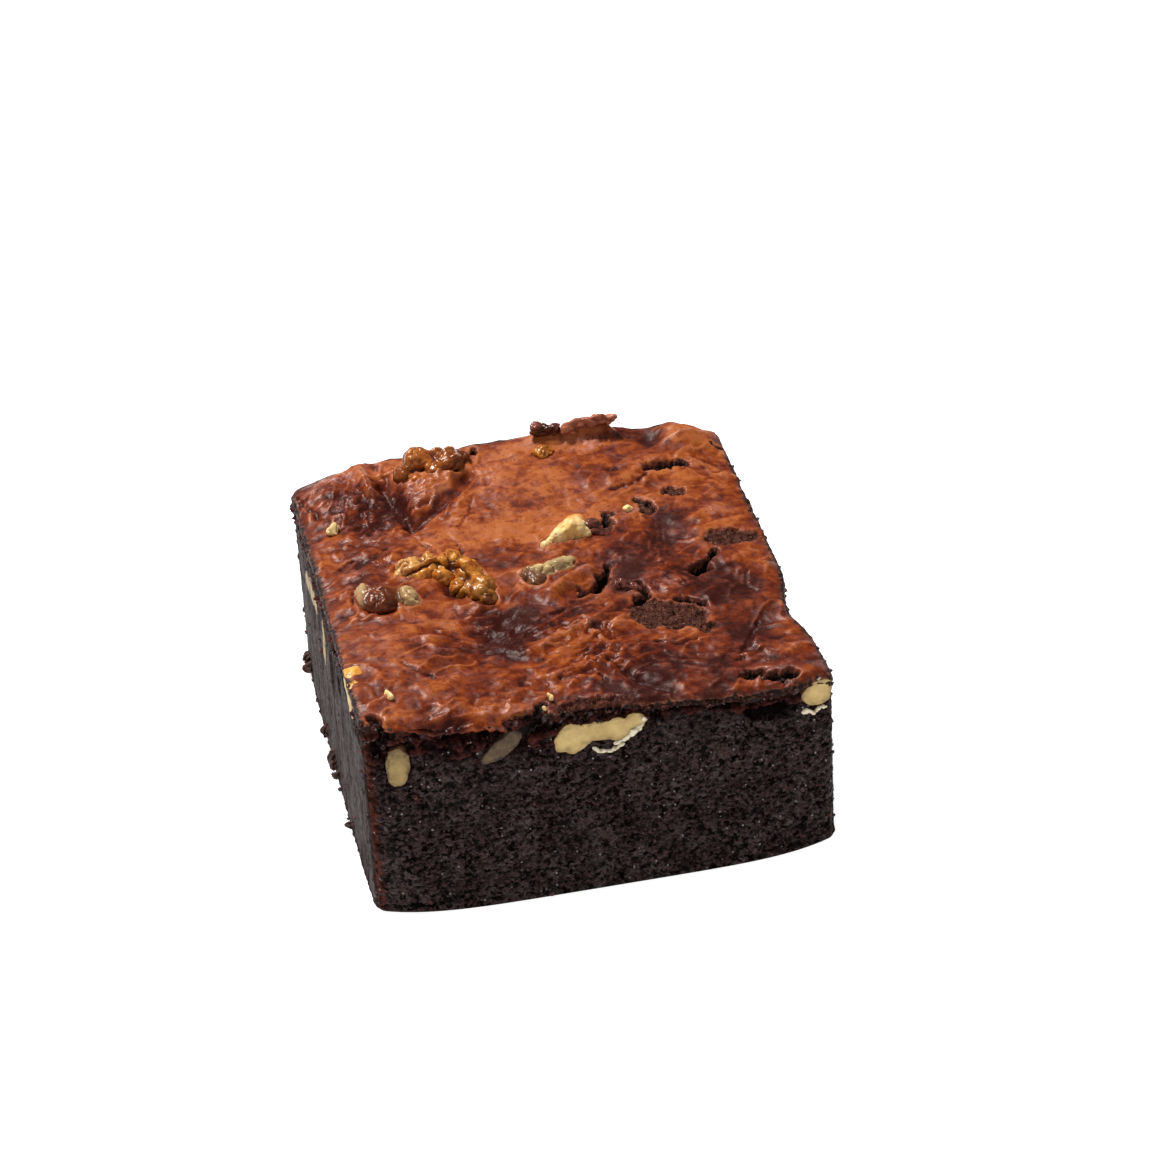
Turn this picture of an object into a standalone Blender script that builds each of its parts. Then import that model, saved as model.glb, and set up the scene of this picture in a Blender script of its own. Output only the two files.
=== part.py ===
"""A square walnut brownie with a crackled crust, cut from a tray bake.

Blender 4.5, metres, +Z up. The origin is on the surface the brownie stands on, under the middle of
the square, and the long cut face at the front looks along -Y. Run it from Blender's text editor or with
blender --background --python part.py
"""

import math

import bmesh
import bpy
import numpy as np
from mathutils import Matrix, Vector, noise

MM = 0.001  # one millimetre; the tables of crust and nut features below are in millimetres

# Driving dimensions of the cut square, in millimetres.
WIDTH = 75.0
DEPTH = 77.0
FRONT_LEFT_HEIGHT = 36.3
FRONT_RIGHT_HEIGHT = 30.1
BACK_RIGHT_HEIGHT = 32.4
BACK_LEFT_HEIGHT = 33.2

# The bake rises towards the middle and the back, and its soft sides sag outwards at the foot.
MIDDLE_RISE = 1.2
BACK_RISE = 1.5
FRONT_SAG_TOP = 1.0
FRONT_SAG_FOOT = 3.7
BACK_SAG = 2.4
LEFT_SAG_FOOT = 0.5
RIGHT_SAG_FOOT = 0.7
RIGHT_BITE_DEPTH = 2.0  # the right side lost some crumb under the crust
RIGHT_BITE_PLACE = -17.0
RIGHT_BITE_REACH = 6.5
CORNER_PULL = 0.5

# How finely the block is cut before it is shaped.
CELLS_ACROSS = 44
CELLS_DEEP = 46
WALL_LEVELS = (0.14, 0.30, 0.46, 0.60, 0.71, 0.80, 0.88, 0.94, 0.98)

# Broad swells and hollows of the crust: x, y, half-length, half-width, turn in degrees, rise.
SWELLS = (
    (-14.5, 31.0, 8.0, 5.0, 75, 1.7),
    (-31.5, 33.0, 5.0, 5.5, 0, 1.3),
    (-24.0, 23.5, 6.0, 3.8, 80, -1.4),
    (1.0, 27.0, 12.0, 10.0, 0, 0.7),
    (31.0, 35.5, 4.5, 4.0, 0, 1.7),
    (25.0, 37.5, 2.8, 3.0, 0, -1.2),
    (-28.5, -4.0, 6.0, 6.0, 0, 1.0),
    (-16.2, -2.2, 3.0, 2.6, 60, -1.3),
    (-13.5, -16.0, 7.5, 5.5, 25, -1.7),
    (-12.5, -24.5, 4.0, 1.8, 0, -0.8),
    (-27.5, -20.0, 9.0, 10.0, 0, 0.8),
    (15.5, -3.5, 6.0, 5.0, 0, 0.9),
    (20.5, 8.5, 3.6, 6.5, 0, -1.2),
    (31.5, -3.5, 4.0, 5.0, 0, 0.8),
    (28.0, -21.5, 5.0, 3.8, 20, -0.9),
    (31.0, -28.5, 6.0, 4.5, 0, 0.6),
    (34.0, -36.5, 4.5, 4.0, 0, 1.5),
    (-23.0, -39.5, 14.0, 4.0, 0, -1.3),
    (7.0, 20.0, 6.0, 5.0, 0, -0.5),
)

# Ridges and valleys that follow a line: half-width, rise, then the points of the line.
FOLDS = (
    (1.3, -1.7, ((-22.5, 33.0), (-21.0, 26.0), (-19.5, 18.8))),
    (1.3, -1.7, ((-7.8, 31.0), (-12.0, 25.5), (-16.5, 20.8), (-19.5, 18.8))),
    (1.2, 1.3, ((-25.5, 39.0), (-25.0, 30.5))),
    (1.4, 2.2, ((6.6, 38.4), (9.0, 38.2))),
    (1.3, 3.6, ((11.2, 38.7), (14.5, 38.9), (18.0, 38.9))),
    (1.5, 0.8, ((30.0, 29.5), (23.0, 29.8), (18.0, 25.5), (12.5, 24.5))),
    (1.5, 1.4, ((-1.5, -7.8), (2.0, -4.8), (5.8, -2.4))),
    (0.9, 0.9, ((-8.0, -23.4), (-3.5, -20.6), (0.5, -18.6), (5.0, -16.2))),
    (0.8, 0.8, ((-5.5, -31.0), (0.0, -28.9), (3.5, -26.7))),
    (1.0, -0.8, ((5.5, -30.0), (8.0, -34.0), (12.0, -37.0))),
    (1.0, 0.6, ((31.5, 27.5), (34.0, 25.0), (37.0, 23.5))),
)

# Holes torn in the crust: half-width, depth, then the points along the middle of the hole.
TEARS = (
    (1.4, 2.6, ((4.4, -7.6), (7.0, -6.6), (9.6, -3.0))),
    (1.1, 2.4, ((19.2, -13.3), (21.4, -14.4))),
    (1.9, 3.0, ((24.2, -3.8), (25.4, -2.8), (28.2, 0.4))),
    (1.6, 3.0, ((22.8, 26.6), (26.0, 27.6), (28.6, 27.8))),
    (1.1, 2.4, ((-5.6, 37.5), (-7.2, 32.6))),
    (1.3, 2.2, ((24.5, -35.4), (30.0, -36.2))),
)

# Hollows under the crust where the walls are cut: start, end, height, half-height, depth.
FRONT_GROOVES = (
    (-30.0, -9.5, 31.4, 1.3, 1.2),
    (22.5, 31.5, 26.6, 1.4, 1.8),
)
LEFT_GROOVES = (
    (-6.0, 18.0, 30.4, 1.3, 1.4),
    (-7.5, -1.0, 22.5, 3.6, 1.4),
)

# Nuts that lie in the crust: x, y, height of the middle over the crust, three half sizes, turn in degrees.
CRUST_NUTS = {
    "walnut_half": (
        (-22.3, 4.6, 0.3, 2.9, 2.6, 2.3, 0),
        (-18.9, 5.0, 0.7, 1.9, 2.5, 2.1, 0),
        (-16.3, 4.8, 0.9, 1.6, 3.1, 2.2, -25),
        (-13.3, 1.4, 1.0, 2.2, 3.4, 2.3, 25),
        (-11.9, -3.4, 0.6, 2.1, 2.6, 2.2, 0),
        (-12.0, -6.6, 0.2, 2.0, 2.0, 2.1, 0),
    ),
    "walnut_chip": (
        (1.3, 7.8, 0.2, 1.8, 0.9, 0.9, 40),
        (3.6, 9.0, 0.6, 2.0, 1.5, 1.6, 35),
        (6.0, 9.8, 1.0, 2.5, 2.0, 2.3, 15),
        (6.6, 11.6, 0.7, 2.2, 1.8, 2.0, 60),
    ),
    "walnut_middle": (
        (1.9, 0.6, 0.3, 2.6, 1.7, 1.5, 25),
        (-1.2, -0.4, 0.4, 2.2, 1.2, 1.4, -35),
        (-3.0, -2.2, 0.1, 1.8, 2.4, 1.5, 15),
    ),
    "walnut_left": (
        (-28.9, -4.8, 0.3, 3.2, 3.9, 2.1, 0),
        (-24.5, -5.0, 0.4, 1.9, 2.3, 1.8, 0),
        (-31.2, -2.6, 0.3, 1.1, 3.3, 1.7, -12),
    ),
    "walnut_back": (
        (-18.6, 33.4, 0.4, 1.7, 2.6, 2.0, 0),
        (-15.6, 35.6, 1.0, 2.9, 2.9, 2.7, 0),
        (-10.4, 34.6, 0.8, 2.5, 3.3, 2.5, -15),
    ),
}

# Nuts that the knife cut through. Along the wall, height, half-length, half-height, turn in degrees.
FRONT_NUTS = {
    "walnut_front_left": ((-32.2, 27.4, 2.2, 3.7, 4),),
    "walnut_front_sunk": ((-16.2, 28.0, 3.6, 1.7, -32),),
    "walnut_front_middle": (
        (-4.9, 27.8, 3.0, 3.0, 0),
        (-1.2, 28.5, 2.2, 1.9, 0),
        (2.2, 28.3, 2.6, 2.3, 0),
        (5.1, 29.3, 2.0, 2.2, -25),
    ),
    "walnut_front_right": ((34.6, 28.3, 2.9, 2.5, 0),),
}
LEFT_NUTS = {
    "walnut_left_rear": ((22.3, 25.0, 3.4, 2.0, -10), (17.4, 26.0, 3.3, 2.4, 0), (12.8, 26.6, 3.0, 1.9, 0)),
    "walnut_left_middle": ((3.2, 26.6, 1.9, 2.6, 0), (4.2, 22.4, 1.8, 3.4, 10)),
    "walnut_left_rim": ((-23.8, 34.0, 2.6, 2.2, 0), (-27.6, 33.0, 3.2, 2.9, 15)),
}
RIGHT_NUTS = {
    "walnut_right_side": ((9.5, 21.0, 3.2, 2.6, 0), (13.2, 22.3, 2.4, 2.0, 0)),
}
BACK_NUTS = {
    "walnut_back_side": ((17.5, 24.5, 3.4, 2.5, 20), (13.4, 23.0, 2.2, 2.1, 0)),
}
CUT_NUT_INSET = 1.3  # the middle of a cut nut lies this far inside the wall
CUT_NUT_DEPTH = 2.8  # and it reaches this far each way from its middle
CUT_NUT_PROUD = 0.15  # a cut face stands this far out of the crumb

# Nuts and their pockets are skinned with voxels and then thinned out.
NUT_VOXEL = 0.42
NUT_TRIANGLES = 210
POCKET_GAP = 0.5
POCKET_TRIANGLES = 140

# Small bits of nut and crust that are fused to the crust: x, y, half sizes, turn.
CRUST_BITS = (
    (-32.8, 21.6, 1.5, 1.2, 1.2, 70),
    (6.7, 36.2, 1.3, 1.5, 1.2, 0),
    (9.2, 8.3, 1.6, 1.7, 1.5, 0),
    (-31.9, -32.2, 0.8, 1.6, 0.9, 0),
    (16.5, 15.4, 1.2, 1.0, 0.9, 0),
)
BIT_SINK = 0.35  # share of a bit's half-height that its middle lies below the crust
BIT_RISE_SHARE = 0.8

MATERIALS = {
    "crumb_and_crust": ((0.11, 0.035, 0.018), 0.5),
    "toasted_nut": ((0.42, 0.17, 0.035), 0.35),
    "cut_nut": ((0.52, 0.38, 0.18), 0.55),
}


def clear_scene():
    """Removes every object of the startup scene."""
    for obj in list(bpy.data.objects):
        bpy.data.objects.remove(obj)


def make_material(name):
    """A Principled material with the named colour and roughness."""
    colour, roughness = MATERIALS[name]
    material = bpy.data.materials.new(name)
    material.use_nodes = True
    shader = material.node_tree.nodes["Principled BSDF"]
    shader.inputs["Base Color"].default_value = (*colour, 1.0)
    shader.inputs["Roughness"].default_value = roughness
    shader.inputs["Metallic"].default_value = 0.0
    return material


def make_collection(name):
    """A collection linked under the scene's own."""
    collection = bpy.data.collections.new(name)
    bpy.context.scene.collection.children.link(collection)
    return collection


def turned(dx, dy, turn):
    """An offset seen in axes that are turned by this many degrees."""
    c, s = math.cos(math.radians(turn)), math.sin(math.radians(turn))
    return dx * c + dy * s, -dx * s + dy * c


def mound(x, y, cx, cy, half_length, half_width, turn, rise):
    """A smooth round swell, or a hollow where rise is negative."""
    along, across = turned(x - cx, y - cy, turn)
    return rise * np.exp(-((along / half_length) ** 2) - (across / half_width) ** 2)


def distance_to_line(x, y, points):
    """How far each place is from a line through the points."""
    nearest = np.full(np.shape(x), np.inf)
    for (x0, y0), (x1, y1) in zip(points, points[1:]):
        length2 = (x1 - x0) ** 2 + (y1 - y0) ** 2
        t = np.clip(((x - x0) * (x1 - x0) + (y - y0) * (y1 - y0)) / length2, 0, 1)
        nearest = np.minimum(nearest, np.hypot(x - x0 - t * (x1 - x0), y - y0 - t * (y1 - y0)))
    return nearest


def smooth_step(low, high, value):
    """0 below low, 1 above high, and a smooth rise between."""
    t = np.clip((value - low) / (high - low), 0, 1)
    return t * t * (3 - 2 * t)


def tray_height(x, y):
    """The plain domed top of the square, before the crust wrinkles."""
    u, v = x / WIDTH + 0.5, y / DEPTH + 0.5
    plane = (1 - v) * ((1 - u) * FRONT_LEFT_HEIGHT + u * FRONT_RIGHT_HEIGHT)
    plane = plane + v * ((1 - u) * BACK_LEFT_HEIGHT + u * BACK_RIGHT_HEIGHT)
    dome = 1 - np.clip(np.abs(2 * x / WIDTH), 0, 1) ** 4
    return plane + (MIDDLE_RISE + BACK_RISE * 2 * y / DEPTH) * dome


def crust_height(x, y, with_tears=True):
    """Height of the crust over the foot, in millimetres, for arrays of places."""
    x, y = np.asarray(x, float), np.asarray(y, float)
    height = tray_height(x, y)
    for swell in SWELLS:
        height = height + mound(x, y, *swell)
    for half_width, rise, points in FOLDS:
        height = height + rise * np.exp(-((distance_to_line(x, y, points) / half_width) ** 2))
    if with_tears:
        for half_width, depth, points in TEARS:
            reach = distance_to_line(x, y, points) / half_width
            height = height - depth * (1 - smooth_step(0.55, 1.25, reach))
        for cx, cy, half_x, half_y, half_z, turn in CRUST_BITS:
            height = height + mound(x, y, cx, cy, half_x, half_y, turn, half_z * BIT_RISE_SHARE)
    return height


def crackle(x, y):
    """A small uneven rise, the same each time, for one place in millimetres."""
    place = Vector((x / 5.0, y / 4.0, 3.7))
    return 0.35 * noise.noise(place) + 0.2 * noise.noise(place * 2.3)


def groove_depth(along, height, grooves):
    """How far a wall is hollowed at one place under the crust."""
    depth = 0.0
    for start, end, middle, half_height, most in grooves:
        inside = smooth_step(start - 1.5, start + 1.5, along) * (1 - smooth_step(end - 1.5, end + 1.5, along))
        depth += most * inside * math.exp(-(((height - middle) / half_height) ** 2))
    return depth


def wall_offset(u, v, level):
    """How far the side walls stand out of the plain square at one place: x and y, in millimetres.

    u and v run from -1 to 1 across and in depth, and level from 0 at the foot to 1 at the crust.
    """
    level = min(max(level, 0.0), 1.0)
    front = FRONT_SAG_TOP + (FRONT_SAG_FOOT - FRONT_SAG_TOP) * (1 - level) ** 0.8
    y_out = -front * (1 - abs(u) ** 5) if v < 0 else BACK_SAG * (1 - abs(u) ** 4)
    foot = LEFT_SAG_FOOT if u < 0 else RIGHT_SAG_FOOT
    x_out = math.copysign(foot * (1 - level) * (1 - abs(v) ** 4), u)
    if u > 0:
        reach = (v * DEPTH / 2 - RIGHT_BITE_PLACE) / RIGHT_BITE_REACH
        x_out -= RIGHT_BITE_DEPTH * math.exp(-reach ** 2) * level
    return x_out * abs(u), y_out * abs(v)


def shaped_point(u, v, level):
    """The place in millimetres of a point of the plain block, once baked, cut and sagged."""
    x, y = u * WIDTH / 2, v * DEPTH / 2
    top = float(crust_height(x, y)) + crackle(x, y)
    z = level * top
    x_out, y_out = wall_offset(u, v, level)
    edge_u, edge_v = abs(u) > 0.999, abs(v) > 0.999
    if edge_u and edge_v:
        x_out -= math.copysign(CORNER_PULL, u)
        y_out -= math.copysign(CORNER_PULL, v)
    if 0 < level < 1 and edge_v and v < 0:
        y_out += groove_depth(x, z, FRONT_GROOVES)
    if 0 < level < 1 and edge_u and u < 0:
        x_out += groove_depth(y, z, LEFT_GROOVES)
    if level > 0 and (edge_u or edge_v):
        bite = 0.3 * noise.noise(Vector((x / 3.0, y / 3.0, z / 3.0)))
        x_out += bite * edge_u
        y_out += bite * edge_v
    return Vector((x + x_out, y + y_out, z))


def wall_place(side, along, height):
    """A point on one of the four cut walls, and the way out of it, in millimetres."""
    if side in ("front", "back"):
        u, v = 2 * along / WIDTH, -1.0 if side == "front" else 1.0
        outward = Vector((0, v, 0))
    else:
        u, v = -1.0 if side == "left" else 1.0, 2 * along / DEPTH
        outward = Vector((u, 0, 0))
    level = height / float(crust_height(u * WIDTH / 2, v * DEPTH / 2, with_tears=False))
    x_out, y_out = wall_offset(u, v, level)
    return Vector((u * WIDTH / 2 + x_out, v * DEPTH / 2 + y_out, height)), outward


def make_block(collection, material):
    """The crumb and its crust as one solid: a cube, cut into cells and shaped point by point."""
    shape = bmesh.new()
    bmesh.ops.create_cube(shape, size=2.0)
    cuts = [(Vector((2 * i / CELLS_ACROSS - 1, 0, 0)), Vector((1, 0, 0))) for i in range(1, CELLS_ACROSS)]
    cuts += [(Vector((0, 2 * i / CELLS_DEEP - 1, 0)), Vector((0, 1, 0))) for i in range(1, CELLS_DEEP)]
    cuts += [(Vector((0, 0, 2 * level - 1)), Vector((0, 0, 1))) for level in WALL_LEVELS]
    for place, across in cuts:
        whole = shape.verts[:] + shape.edges[:] + shape.faces[:]
        bmesh.ops.bisect_plane(shape, geom=whole, dist=1e-6, plane_co=place, plane_no=across)
    foot = [face for face in shape.faces if face.normal.z < -0.5]
    inner = [edge for edge in shape.edges if all(face in foot for face in edge.link_faces)]
    bmesh.ops.dissolve_edges(shape, edges=inner, use_verts=True)
    for vert in shape.verts:
        u, v, w = vert.co
        vert.co = shaped_point(u, v, (w + 1) / 2) * MM
    bmesh.ops.triangulate(shape, faces=shape.faces[:])
    mesh = bpy.data.meshes.new("brownie_block")
    shape.to_mesh(mesh)
    shape.free()
    mesh.materials.append(material)
    block = bpy.data.objects.new("brownie_block", mesh)
    collection.objects.link(block)
    return block


def lobe_on_crust(x, y, lift, half_x, half_y, half_z, turn):
    """The matrix of one lobe of a nut that lies in the crust."""
    height = float(crust_height(x, y, with_tears=False)) + lift
    spin = Matrix.Rotation(math.radians(turn), 4, "Z")
    return Matrix.Translation((x, y, height)) @ spin, (half_x, half_y, half_z)


def lobe_in_wall(side, along, height, half_length, half_height, turn):
    """The matrix of one lobe of a nut that the knife cut through."""
    surface, outward = wall_place(side, along, height)
    middle = surface - outward * CUT_NUT_INSET
    if side in ("front", "back"):
        spin = Matrix.Rotation(math.radians(turn), 4, "Y")
        return Matrix.Translation(middle) @ spin, (half_length, CUT_NUT_DEPTH, half_height)
    spin = Matrix.Rotation(math.radians(turn), 4, "X")
    return Matrix.Translation(middle) @ spin, (CUT_NUT_DEPTH, half_length, half_height)


def skinned_lobes(name, lobes, grow):
    """One closed mesh round several lobes, each made larger by grow, in metres."""
    shape = bmesh.new()
    for place, halves in lobes:
        size = Matrix.Diagonal((*[half + grow for half in halves], 1.0))
        whole = Matrix.Scale(MM, 4) @ place @ size
        bmesh.ops.create_icosphere(shape, subdivisions=4, radius=1.0, matrix=whole)
    mesh = bpy.data.meshes.new(name)
    shape.to_mesh(mesh)
    shape.free()
    lumps = bpy.data.objects.new(name, mesh)
    bpy.context.scene.collection.objects.link(lumps)
    skin = lumps.modifiers.new("Skin", "REMESH")
    skin.mode = "VOXEL"
    skin.voxel_size = NUT_VOXEL * MM
    skinned = bpy.data.meshes.new_from_object(lumps.evaluated_get(bpy.context.evaluated_depsgraph_get()))
    bpy.data.objects.remove(lumps)
    skinned.name = name
    return skinned


def press_flush(mesh, side):
    """Flattens what stands out of a wall, as the knife did. The right front nut is cut on two sides."""
    for vert in mesh.vertices:
        place = vert.co / MM
        along = place.x if side in ("front", "back") else place.y
        surface, outward = wall_place(side, along, place.z)
        proud = (place - surface).dot(outward) - CUT_NUT_PROUD
        if proud > 0:
            vert.co -= outward * proud * MM


def thinned(obj, triangles):
    """Adds a Decimate that leaves about this many triangles."""
    obj.data.calc_loop_triangles()
    thin = obj.modifiers.new("Thin", "DECIMATE")
    thin.ratio = min(1.0, triangles / len(obj.data.loop_triangles))


def make_nut(name, lobes, cut_sides, material, nuts, pockets):
    """A nut, and the larger shape that cuts its pocket out of the block."""
    mesh = skinned_lobes(name, lobes, 0.0)
    for side in cut_sides:
        press_flush(mesh, side)
    mesh.materials.append(material)
    nut = bpy.data.objects.new(name, mesh)
    nuts.objects.link(nut)
    thinned(nut, NUT_TRIANGLES)
    pocket = bpy.data.objects.new(name + "_pocket", skinned_lobes(name + "_pocket", lobes, POCKET_GAP))
    pocket.hide_render = True
    pocket.display_type = "WIRE"
    pockets.objects.link(pocket)
    thinned(pocket, POCKET_TRIANGLES)


def make_nuts(nuts, pockets, toasted, cut):
    """Every nut that shows, on the crust and in the four walls."""
    for name, rows in CRUST_NUTS.items():
        make_nut(name, [lobe_on_crust(*row) for row in rows], (), toasted, nuts, pockets)
    walls = (("front", FRONT_NUTS), ("left", LEFT_NUTS), ("right", RIGHT_NUTS), ("back", BACK_NUTS))
    for side, group in walls:
        for name, rows in group.items():
            sides = (side, "right") if name == "walnut_front_right" else (side,)
            make_nut(name, [lobe_in_wall(side, *row) for row in rows], sides, cut, nuts, pockets)


def cut_pockets(block, pockets):
    """Cuts the pockets out of the block, so that each nut lies in its own."""
    cut = block.modifiers.new("Pockets", "BOOLEAN")
    cut.operation = "DIFFERENCE"
    cut.operand_type = "COLLECTION"
    cut.collection = pockets
    cut.solver = "EXACT"


def main():
    clear_scene()
    brownie = make_collection("Walnut brownie")
    pockets = make_collection("Pockets")
    block = make_block(brownie, make_material("crumb_and_crust"))
    make_nuts(brownie, pockets, make_material("toasted_nut"), make_material("cut_nut"))
    cut_pockets(block, pockets)


main()
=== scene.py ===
# %% [markdown]
# # A square walnut brownie
# This lesson dresses a brownie that was cut from a tray bake. The solids of the frame give its true size:
# a block, and one lobed solid for each walnut that shows. Here the block gets a thin crackled crust and a
# dense porous crumb, and each nut gets its wrinkles, its oily skin or its pale cut face.
# Lengths in this file are in millimetres, as a baker's ruler gives them, and MM turns them into metres.

# %% The frame
import math

import bmesh
import bpy
import numpy as np
from mathutils import Matrix, Vector


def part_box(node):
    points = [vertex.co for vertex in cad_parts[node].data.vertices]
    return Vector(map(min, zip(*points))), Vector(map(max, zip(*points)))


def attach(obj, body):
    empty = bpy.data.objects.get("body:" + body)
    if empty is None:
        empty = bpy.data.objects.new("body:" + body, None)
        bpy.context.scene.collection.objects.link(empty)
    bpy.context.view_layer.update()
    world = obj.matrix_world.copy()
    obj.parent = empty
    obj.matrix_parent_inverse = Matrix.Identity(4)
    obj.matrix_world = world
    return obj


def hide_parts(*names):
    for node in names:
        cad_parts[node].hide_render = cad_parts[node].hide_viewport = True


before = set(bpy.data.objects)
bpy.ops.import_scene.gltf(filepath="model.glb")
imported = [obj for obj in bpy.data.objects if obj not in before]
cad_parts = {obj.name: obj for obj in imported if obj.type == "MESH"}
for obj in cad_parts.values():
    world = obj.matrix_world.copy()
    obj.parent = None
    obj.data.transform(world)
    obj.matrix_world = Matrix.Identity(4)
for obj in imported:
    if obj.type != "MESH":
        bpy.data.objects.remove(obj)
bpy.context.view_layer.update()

MM = 0.001
print("nodes of the frame:", sorted(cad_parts))

# %% [markdown]
# ## The size of the block
# The square is 75 mm wide and 77 mm deep. Each corner has its own height, because the tray was a little
# higher at the front left. The middle rises in the oven, and the soft walls sag outwards at the foot.
# These are the driving sizes of the solids too, so the crust drawn here lies on the block of the frame.

# %% Sizes of the block
WIDTH, DEPTH = 75.0, 77.0
HEIGHTS = {"front left": 36.3, "front right": 30.1, "back right": 32.4, "back left": 33.2}
MIDDLE_RISE, BACK_RISE = 1.2, 1.5
FRONT_SAG_TOP, FRONT_SAG_FOOT = 1.0, 3.7
BACK_SAG = 2.4
LEFT_SAG_FOOT, RIGHT_SAG_FOOT = 0.5, 0.7
CORNER_RADIUS = 1.3
block_low, block_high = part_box("brownie_block")
print("the block measures", [round((high - low) / MM, 1) for low, high in zip(block_low, block_high)], "mm")

# %% [markdown]
# ## Uneven numbers that stay the same
# Baked things are uneven at every size. Gradient noise gives soft uneven numbers, and adding it up at
# finer and finer sizes gives lumps on lumps. Cell noise gives the distance to the nearest of many
# scattered points, which is how pores lie in a crumb. Both work on whole arrays, so a hundred thousand
# points take a moment, and a seed keeps each run the same.

# %% Noise for arrays
def scrambled(*whole_numbers, seed=0):
    """A number from 0 to 1 for each set of whole numbers, the same each run."""
    mixed = np.full(np.shape(whole_numbers[0]), np.uint32(seed * 747796405 + 2891336453 & 0xFFFFFFFF))
    for axis, number in enumerate(whole_numbers):
        mixed = mixed ^ (np.asarray(number, np.int64) & 0xFFFFFFFF).astype(np.uint32)
        mixed = mixed * np.uint32(2654435761) + np.uint32(axis * 40503 + 12345)
        mixed = mixed ^ (mixed >> np.uint32(15))
        mixed = mixed * np.uint32(2246822519)
        mixed = mixed ^ (mixed >> np.uint32(13))
    return mixed.astype(np.float64) / 4294967295.0


def soft_noise(x, y, z=0.0, seed=0):
    """Gradient noise from about -1 to 1, with lumps about one unit apart."""
    x, y, z = np.broadcast_arrays(np.asarray(x, float), y, z)
    whole = [np.floor(axis) for axis in (x, y, z)]
    part = [axis - low for axis, low in zip((x, y, z), whole)]
    ease = [t * t * t * (t * (t * 6 - 15) + 10) for t in part]
    total = np.zeros(x.shape)
    for corner in range(8):
        step = [(corner >> bit) & 1 for bit in range(3)]
        cell = [low + add for low, add in zip(whole, step)]
        turn = scrambled(*cell, seed=seed) * 2 * math.pi
        lift = scrambled(*cell, seed=seed + 101) * 2 - 1
        flat = np.sqrt(1 - lift * lift)
        slope = (flat * np.cos(turn), flat * np.sin(turn), lift)
        value = sum(g * (t - add) for g, t, add in zip(slope, part, step))
        weight = 1.0
        for t, add in zip(ease, step):
            weight = weight * (t if add else 1 - t)
        total += value * weight
    return total * 1.6


def lumpy(x, y, z=0.0, octaves=3, seed=0):
    """Soft noise added up at finer and finer sizes."""
    total, strength, finer = 0.0, 1.0, 1.0
    for octave in range(octaves):
        total = total + strength * soft_noise(x * finer, y * finer, z * finer, seed + 17 * octave)
        strength, finer = strength * 0.5, finer * 2.03
    return total


def nearest_cell(x, y, seed=0):
    """Distance to the nearest scattered point, to the next one, and the nearest point's own number."""
    first, second = np.full(np.shape(x), 9.0), np.full(np.shape(x), 9.0)
    number = np.zeros(np.shape(x))
    for across in (-1, 0, 1):
        for along in (-1, 0, 1):
            cx, cy = np.floor(x) + across, np.floor(y) + along
            px = cx + 0.15 + 0.7 * scrambled(cx, cy, seed=seed)
            py = cy + 0.15 + 0.7 * scrambled(cx, cy, seed=seed + 7)
            reach = np.hypot(x - px, y - py)
            own = scrambled(cx, cy, seed=seed + 13)
            closer = reach < first
            second = np.where(closer, first, np.minimum(second, reach))
            number = np.where(closer, own, number)
            first = np.where(closer, reach, first)
    return first, second, number


sample = lumpy(np.linspace(0, 40, 4000), 0.5)
print("noise runs from", round(float(sample.min()), 2), "to", round(float(sample.max()), 2))

# %% [markdown]
# ## Shapes on the crust
# A crust is a thin sugar skin that rose, cracked and sank again. It is drawn as a height over the foot.
# Three kinds of shape make it up: round swells and hollows, folds that follow a line, and holes torn
# through the skin. Each is a small function of the distance to a point or a line.

# %% Swells, folds and tears
def turned(dx, dy, turn):
    """An offset seen in axes that are turned by this many degrees."""
    c, s = math.cos(math.radians(turn)), math.sin(math.radians(turn))
    return dx * c + dy * s, -dx * s + dy * c


def mound(x, y, cx, cy, half_length, half_width, rise, turn=0):
    """A smooth round swell, or a hollow where rise is negative."""
    along, across = turned(x - cx, y - cy, turn)
    return rise * np.exp(-((along / half_length) ** 2) - (across / half_width) ** 2)


def distance_to_line(x, y, points):
    """How far each place is from a line through the points."""
    nearest = np.full(np.shape(x), np.inf)
    for (x0, y0), (x1, y1) in zip(points, points[1:]):
        length2 = (x1 - x0) ** 2 + (y1 - y0) ** 2
        t = np.clip(((x - x0) * (x1 - x0) + (y - y0) * (y1 - y0)) / length2, 0, 1)
        nearest = np.minimum(nearest, np.hypot(x - x0 - t * (x1 - x0), y - y0 - t * (y1 - y0)))
    return nearest


def smooth_step(low, high, value):
    """0 below low, 1 above high, and a smooth rise between."""
    t = np.clip((value - low) / (high - low), 0, 1)
    return t * t * (3 - 2 * t)


def tray_height(x, y):
    """The plain domed top of the square, before the crust wrinkles."""
    u, v = x / WIDTH + 0.5, y / DEPTH + 0.5
    plane = (1 - v) * ((1 - u) * HEIGHTS["front left"] + u * HEIGHTS["front right"])
    plane = plane + v * ((1 - u) * HEIGHTS["back left"] + u * HEIGHTS["back right"])
    dome = 1 - np.clip(np.abs(2 * x / WIDTH), 0, 1) ** 4
    return plane + (MIDDLE_RISE + BACK_RISE * 2 * y / DEPTH) * dome


print("height at the middle:", round(float(tray_height(0.0, 0.0)), 1), "mm")

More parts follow.
